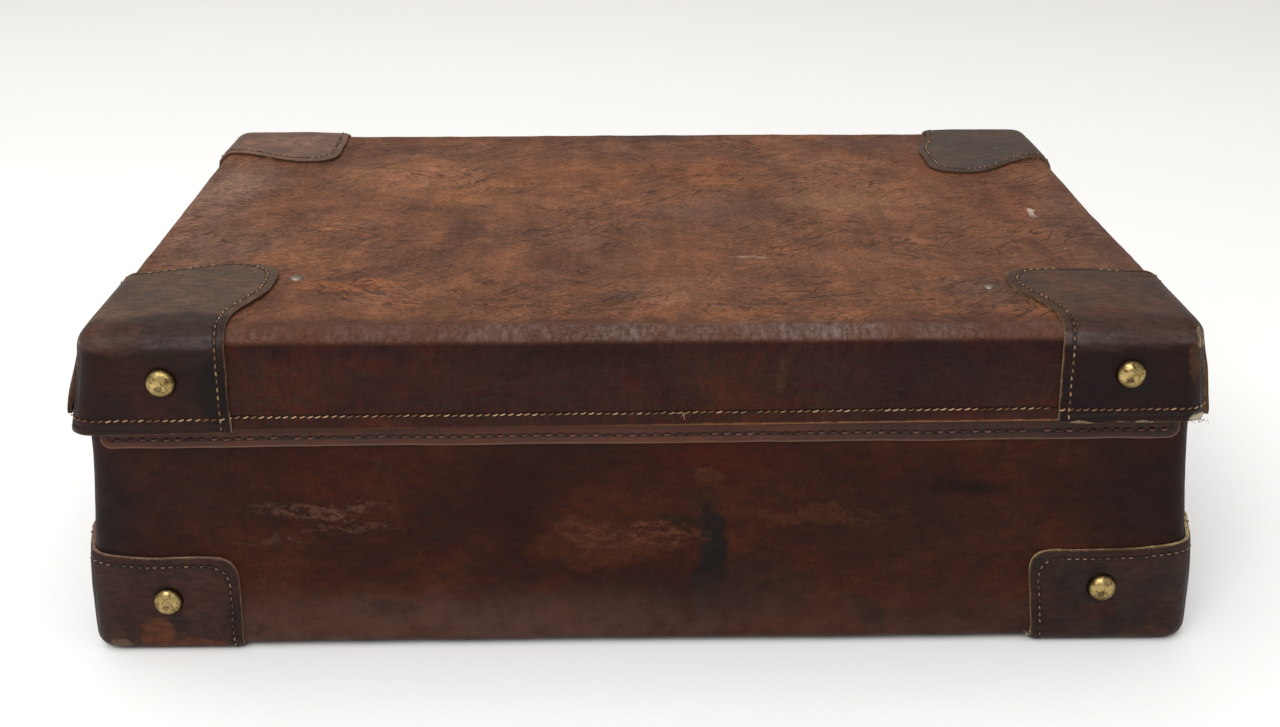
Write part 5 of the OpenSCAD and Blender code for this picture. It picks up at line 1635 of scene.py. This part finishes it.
def dress(node, material, width=0.0):
    """Gives a CAD node a material, and rounded edges where width is above 0."""
    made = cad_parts[node]
    if not made.material_slots:
        made.data.materials.append(None)
    for slot in made.material_slots:
        slot.link = "OBJECT"
        slot.material = material
    if width > 0:
        sharpen(node, width)


# ---------------------------------------------------------------- the whole case

brass = brass_material()
rivet_steel = brass_material("rivet_steel", (0.23, 0.185, 0.15), (0.13, 0.10, 0.08), (0.05, 0.035, 0.025))
stud_brass = brass_material("stud_brass", (0.44, 0.315, 0.125), (0.21, 0.140, 0.050),
                            (0.050, 0.032, 0.013), worn_only=True)
steel = steel_material()
lid_hide = lid_hide_material()
base_hide = base_hide_material()
raw_dark = raw_edge_material("raw_dark", (0.035, 0.016, 0.010), (0.085, 0.042, 0.022), (0.24, 0.14, 0.070))
raw_left = raw_edge_material("raw_left", (0.030, 0.014, 0.009), (0.075, 0.036, 0.020), (0.20, 0.11, 0.055),
                             bright=[
    ((0.206, REAR_Y + 2 * MM, 0.1325), (0.006, 0.006, 0.008), 0.0, (0.42, 0.37, 0.23), 0.9)])
raw_right = raw_edge_material("raw_right", (0.055, 0.028, 0.014), (0.15, 0.085, 0.038), (0.36, 0.25, 0.12),
                              clean=(0.46, 0.62), bright=[
    ((-0.240, REAR_Y, 0.1295), (0.044, 0.02, 0.003), 0.0, (0.50, 0.44, 0.30), 0.8),
    ((-0.2095, REAR_Y, 0.150), (0.006, 0.02, 0.024), 0.0, (0.34, 0.26, 0.15), 0.7)])
raw_pink = raw_edge_material("raw_pink", (0.12, 0.068, 0.050), (0.25, 0.150, 0.110), (0.36, 0.25, 0.19),
                             clean=(0.42, 0.6))
raw_gold = raw_edge_material("raw_gold", (0.080, 0.040, 0.018), (0.24, 0.155, 0.070), (0.50, 0.39, 0.21),
                             clean=(0.40, 0.58), bright=[
    ((-0.240, REAR_Y, 0.058), (0.030, 0.02, 0.004), 0.0, (0.115, 0.068, 0.034), 0.75)])
fibre = thread_material("loose_fibre", (0.24, 0.19, 0.11), (0.52, 0.46, 0.32))
strip_hide = strip_material()
cloth = cloth_material()
board = board_material()
wood = wood_material()
binding = binding_material()
gold_thread = thread_material("gold_thread", (0.12, 0.062, 0.030), (0.31, 0.185, 0.095))
edge_thread = thread_material("edge_thread", (0.15, 0.066, 0.028), (0.42, 0.245, 0.135))
mixed_thread = thread_material("mixed_thread", (0.060, 0.036, 0.025), (0.27, 0.175, 0.110))
base_thread = thread_material("base_thread", (0.048, 0.029, 0.021), (0.205, 0.125, 0.075))
dark_thread = thread_material("dark_thread", (0.060, 0.026, 0.019), (0.135, 0.062, 0.046))

lid_skin(lid_hide)
base_skin(base_hide)

patch_looks = {
    "lid_rear_left": patch_material("patch_lrl", lit_side(0.030, 0.0160, 0.0130),
        lit(0.128, 0.082, 0.064), seed=0.1, worn=[
        # a dark band of painted shade across the rolled top edge on the hinge side
        ((0.225, REAR_Y, TOP_Z), (0.045, 0.026, 0.018), 0.0, lit(0.046, 0.037, 0.035), 0.80),
        ((0.262, REAR_Y - 2 * MM, TOP_Z), (0.020, 0.014, 0.012), 0.0, lit(0.092, 0.052, 0.043), 0.6),
        ((0.212, REAR_Y, 0.150), (0.008, 0.02, 0.022), 0.0, lit_side(0.015, 0.0120, 0.0120), 0.85),
        ((0.262, REAR_Y, 0.140), (0.014, 0.02, 0.014), 0.0, lit_side(0.022, 0.0150, 0.0130), 0.6),
        ((0.278, REAR_Y - 5 * MM, 0.177), (0.0035, 0.005, 0.004), 0.0, (0.33, 0.19, 0.09), 0.9)]),
    "lid_rear_right": patch_material("patch_lrr", lit_side(0.021, 0.0125, 0.0105),
        lit(0.100, 0.062, 0.049), seed=0.2, worn=[
        # a dark band of painted shade across the rolled top edge on the hinge side
        ((-0.235, REAR_Y - 2 * MM, TOP_Z), (0.040, 0.018, 0.012), 0.0, lit(0.066, 0.047, 0.043), 0.7),
        ((-0.230, REAR_Y - 14 * MM, TOP_Z), (0.022, 0.010, 0.012), 0.0, lit(0.105, 0.048, 0.036), 0.5),
        ((-0.274, REAR_Y, 0.166), (0.004, 0.02, 0.016), 0.0, lit_side(0.075, 0.0340, 0.0170), 0.8),
        ((-0.2775, REAR_Y - 2 * MM, 0.176), (0.0035, 0.012, 0.006), 0.0, (0.40, 0.26, 0.13), 0.9),
        ((-0.280, REAR_Y - 3 * MM, 0.131), (0.007, 0.012, 0.004), 0.0, (0.42, 0.36, 0.25), 0.9),
        ((-0.242, REAR_Y, 0.1298), (0.050, 0.02, 0.0017), 0.0, (0.22, 0.17, 0.10), 0.85)]),
    "lid_front_left": patch_material("patch_lfl", lit_side(0.036, 0.0180, 0.0140),
        lit(0.196, 0.118, 0.088), seed=0.3),
    "lid_front_right": patch_material("patch_lfr", lit_side(0.030, 0.0160, 0.0130),
        lit(0.098, 0.072, 0.059), seed=0.4),
    "base_left": patch_material("patch_bl", lit_side(0.042, 0.0245, 0.0205),
        lit(0.10, 0.06, 0.05), seed=0.5, worn=[
        ((0.254, REAR_Y - 6 * MM, 0.009), (0.010, 0.03, 0.013), 0.35, lit_side(0.110, 0.040, 0.022), 0.90),
        ((0.233, REAR_Y - 6 * MM, 0.004), (0.021, 0.03, 0.0055), 0.0, lit_side(0.110, 0.040, 0.022), 0.90),
        ((0.240, REAR_Y - 6 * MM, 0.018), (0.008, 0.03, 0.004), 0.0, lit_side(0.024, 0.0200, 0.0190), 0.45),
        ((0.273, REAR_Y - 6 * MM, 0.006), (0.006, 0.03, 0.004), 0.0, lit_side(0.180, 0.110, 0.070), 0.7)]),
    "base_right": patch_material("patch_br", lit_side(0.036, 0.0240, 0.0200),
        lit(0.10, 0.06, 0.05), seed=0.6, worn=[
        ((-0.240, REAR_Y - 6 * MM, 0.020), (0.010, 0.03, 0.006), 0.0, lit_side(0.065, 0.0230, 0.0155), 0.45),
        ((-0.266, REAR_Y - 6 * MM, 0.006), (0.016, 0.03, 0.005), 0.0, lit_side(0.070, 0.0300, 0.0190), 0.7)]),
}

lid_patch(LEFT, REAR, 75 * MM, 87 * MM, 87 * MM, 101 * MM, 26 * MM, 169 * MM, (3.0 * MM, 0.0 * MM),
          [patch_looks["lid_rear_left"], raw_left], gold_thread, 101)
lid_patch(RIGHT, REAR, 72 * MM, 86 * MM, 81 * MM, 86 * MM, 22 * MM, 174 * MM, (2.8 * MM, 0.2 * MM),
          [patch_looks["lid_rear_right"], raw_right], gold_thread, 111)
lid_patch(LEFT, FRONT, 81 * MM, 82 * MM, 58 * MM, 79 * MM, 20 * MM, 168 * MM, (1.0 * MM, 0.4 * MM),
          [patch_looks["lid_front_left"], raw_dark], mixed_thread, 121)
lid_patch(RIGHT, FRONT, 73 * MM, 86 * MM, 76 * MM, 113 * MM, 22 * MM, 168 * MM, (1.0 * MM, 0.4 * MM),
          [patch_looks["lid_front_right"], raw_dark], gold_thread, 131)
base_patch(LEFT, REAR, 67 * MM, 74 * MM, 55 * MM, 64 * MM, 69 * MM, (1.2 * MM, 0.5 * MM),
           [patch_looks["base_left"], raw_pink], base_thread, 141)
base_patch(RIGHT, REAR, 76 * MM, 74 * MM, 55.5 * MM, 64 * MM, 70 * MM, (1.8 * MM, 0.5 * MM),
           [patch_looks["base_right"], raw_gold], base_thread, 151, lean=6 * MM)
base_patch(LEFT, FRONT, 72 * MM, 74 * MM, 55 * MM, 62 * MM, 66 * MM, (1.0 * MM, 0.4 * MM),
           [patch_looks["base_left"], raw_pink], base_thread, 161)
base_patch(RIGHT, FRONT, 72 * MM, 74 * MM, 55 * MM, 62 * MM, 66 * MM, (1.0 * MM, 0.4 * MM),
           [patch_looks["base_right"], raw_gold], base_thread, 171)

hinge_strip(strip_hide, raw_dark, dark_thread)
lid_edge_stitches(edge_thread, {(LEFT, REAR): (75 * MM, 87 * MM), (RIGHT, REAR): (72 * MM, 81 * MM),
                                (LEFT, FRONT): (81 * MM, 58 * MM), (RIGHT, FRONT): (73 * MM, 76 * MM)})

lid_studs_low, lid_studs_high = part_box("lid_studs")
dented_studs("lid_feet", "lid_studs",
             [(lid_studs_high.x - STUD_R, 0.1562), (lid_studs_low.x + STUD_R, 0.1575)],
             REAR_Y + PATCH_T, stud_brass, "lid")
base_studs_low, base_studs_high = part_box("base_studs")
dented_studs("base_feet", "base_studs",
             [(base_studs_high.x - STUD_R, 0.0312), (base_studs_low.x + STUD_R, 0.0345)],
             BASE_REAR_Y + PATCH_T + 0.5 * MM, stud_brass, "case_base")
lid_rivets(rivet_steel, [(0.183, REAR_Y - 79 * MM, 3.9 * MM), (-0.183, REAR_Y - 59 * MM, 2.9 * MM)])
fray("lid_corner_fray", [
    ((-0.2775, 0.2000, 0.1285), (-0.3, 0.6, -0.8), (2.0 * MM, 0.8 * MM, 0.6 * MM), 22, 2.6 * MM),
    ((-0.2770, 0.1990, 0.1730), (-0.6, 0.6, 0.2), (1.0 * MM, 0.8 * MM, 1.5 * MM), 10, 1.6 * MM),
    ((-0.0215, 0.2025, 0.1362), (0.6, 0.5, 0.1), (1.2 * MM, 0.1 * MM, 0.3 * MM), 4, 3.0 * MM)],
     fibre, "lid", 201)
fray("base_corner_fray", [
    ((0.2735, 0.1925, 0.0085), (0.6, 0.6, -0.5), (1.8 * MM, 0.8 * MM, 2.0 * MM), 16, 1.8 * MM),
    ((-0.2045, 0.1975, 0.0075), (0.1, 0.8, -0.3), (1.0 * MM, 0.3 * MM, 1.5 * MM), 8, 1.6 * MM)],
     fibre, "case_base", 211)
grip(binding, mixed_thread)
rim_edging(binding, mixed_thread)
lining("base_cloth", "base_lining", "case_base", cloth, 95, True)
lining("lid_cloth", "lid_lining", "lid", cloth, 97, False)

for node in ("base_bottom_board", "base_front_board", "base_rear_board", "base_side_boards", "lid_board"):
    dress(node, board)
dress("rim_frame", wood)
for node in ("base_stud_burrs", "lid_stud_burrs", "handle_pins", "front_rivets", "leaf_rivets"):
    dress(node, brass)
for side in ("left", "right"):
    dress("handle_plate_" + side, brass, 0.35 * MM)
    dress("lock_plate_" + side, brass, 0.30 * MM)
    dress("lock_case_" + side, brass, 0.40 * MM)
    dress("hasp_leaf_" + side, brass, 0.25 * MM)
    dress("hasp_" + side, brass, 0.30 * MM)
    dress("lock_slide_" + side, brass, 0.30 * MM)
    dress("handle_end_" + side, brass, 0.40 * MM)
    dress("hasp_pin_" + side, steel)
for node in ("front_burrs", "leaf_burrs", "lid_rivets", "lid_rivet_burrs", "handle_core"):
    dress(node, steel)


# ---------------------------------------------------------------- floor, light and camera

def stage_plane(name, corners, material):
    """A flat part of the stage, which isn't part of the case."""
    mesh = bpy.data.meshes.new(name)
    mesh.from_pydata(corners, [], [(0, 1, 2, 3)])
    mesh.materials.append(material)
    made = bpy.data.objects.new(name, mesh)
    bpy.context.scene.collection.objects.link(made)


def area_light(name, place, aim, size, power, colour):
    """A rectangular light at place that faces aim, with its power in watts."""
    light = bpy.data.lights.new(name, "AREA")
    light.shape = "RECTANGLE"
    light.size, light.size_y = size
    light.energy = power
    light.color = colour
    made = bpy.data.objects.new(name, light)
    made.location = place
    made.rotation_euler = (Vector(aim) - Vector(place)).to_track_quat("-Z", "Y").to_euler()
    bpy.context.scene.collection.objects.link(made)


stage_plane("stage_floor", [(-6, -6, 0), (6, -6, 0), (6, 7, 0), (-6, 7, 0)],
            stage_material("pale_floor", (0.90, 0.895, 0.885), (0.93, 0.925, 0.915)))

camera_data = bpy.data.cameras.new("camera")
camera_data.sensor_width = 36
camera_data.lens = 46.63
camera_data.shift_y = -0.06
camera_place = (0.0151, 0.9611, 0.4713)
camera = bpy.data.objects.new("camera", camera_data)
bpy.context.scene.collection.objects.link(camera)
pitch, yaw = math.radians(19.41), math.radians(1.03)
forward = Vector((-math.sin(yaw) * math.cos(pitch), -math.cos(yaw) * math.cos(pitch), -math.sin(pitch)))
right = Vector((-math.cos(yaw), math.sin(yaw), 0))
above = right.cross(forward)
camera.matrix_world = Matrix([(right[k], above[k], -forward[k], camera_place[k]) for k in range(3)]
                             + [(0, 0, 0, 1)])
bpy.context.scene.camera = camera

world = bpy.data.worlds.new("studio")
world.use_nodes = True
world.node_tree.nodes["Background"].inputs[0].default_value = (1.0, 0.985, 0.96, 1)
world.node_tree.nodes["Background"].inputs[1].default_value = 0.50
bpy.context.scene.world = world
area_light("overhead", (0.5, 0.1, 2.9), (0, 0.05, 0), (4.6, 3.6), 57, (1, 0.995, 0.985))
area_light("high_front", (0.6, 2.7, 2.6), (0, 0.45, 0), (2.8, 1.8), 78, (0.985, 0.995, 1.0))
bpy.context.scene.view_settings.view_transform = "Standard"
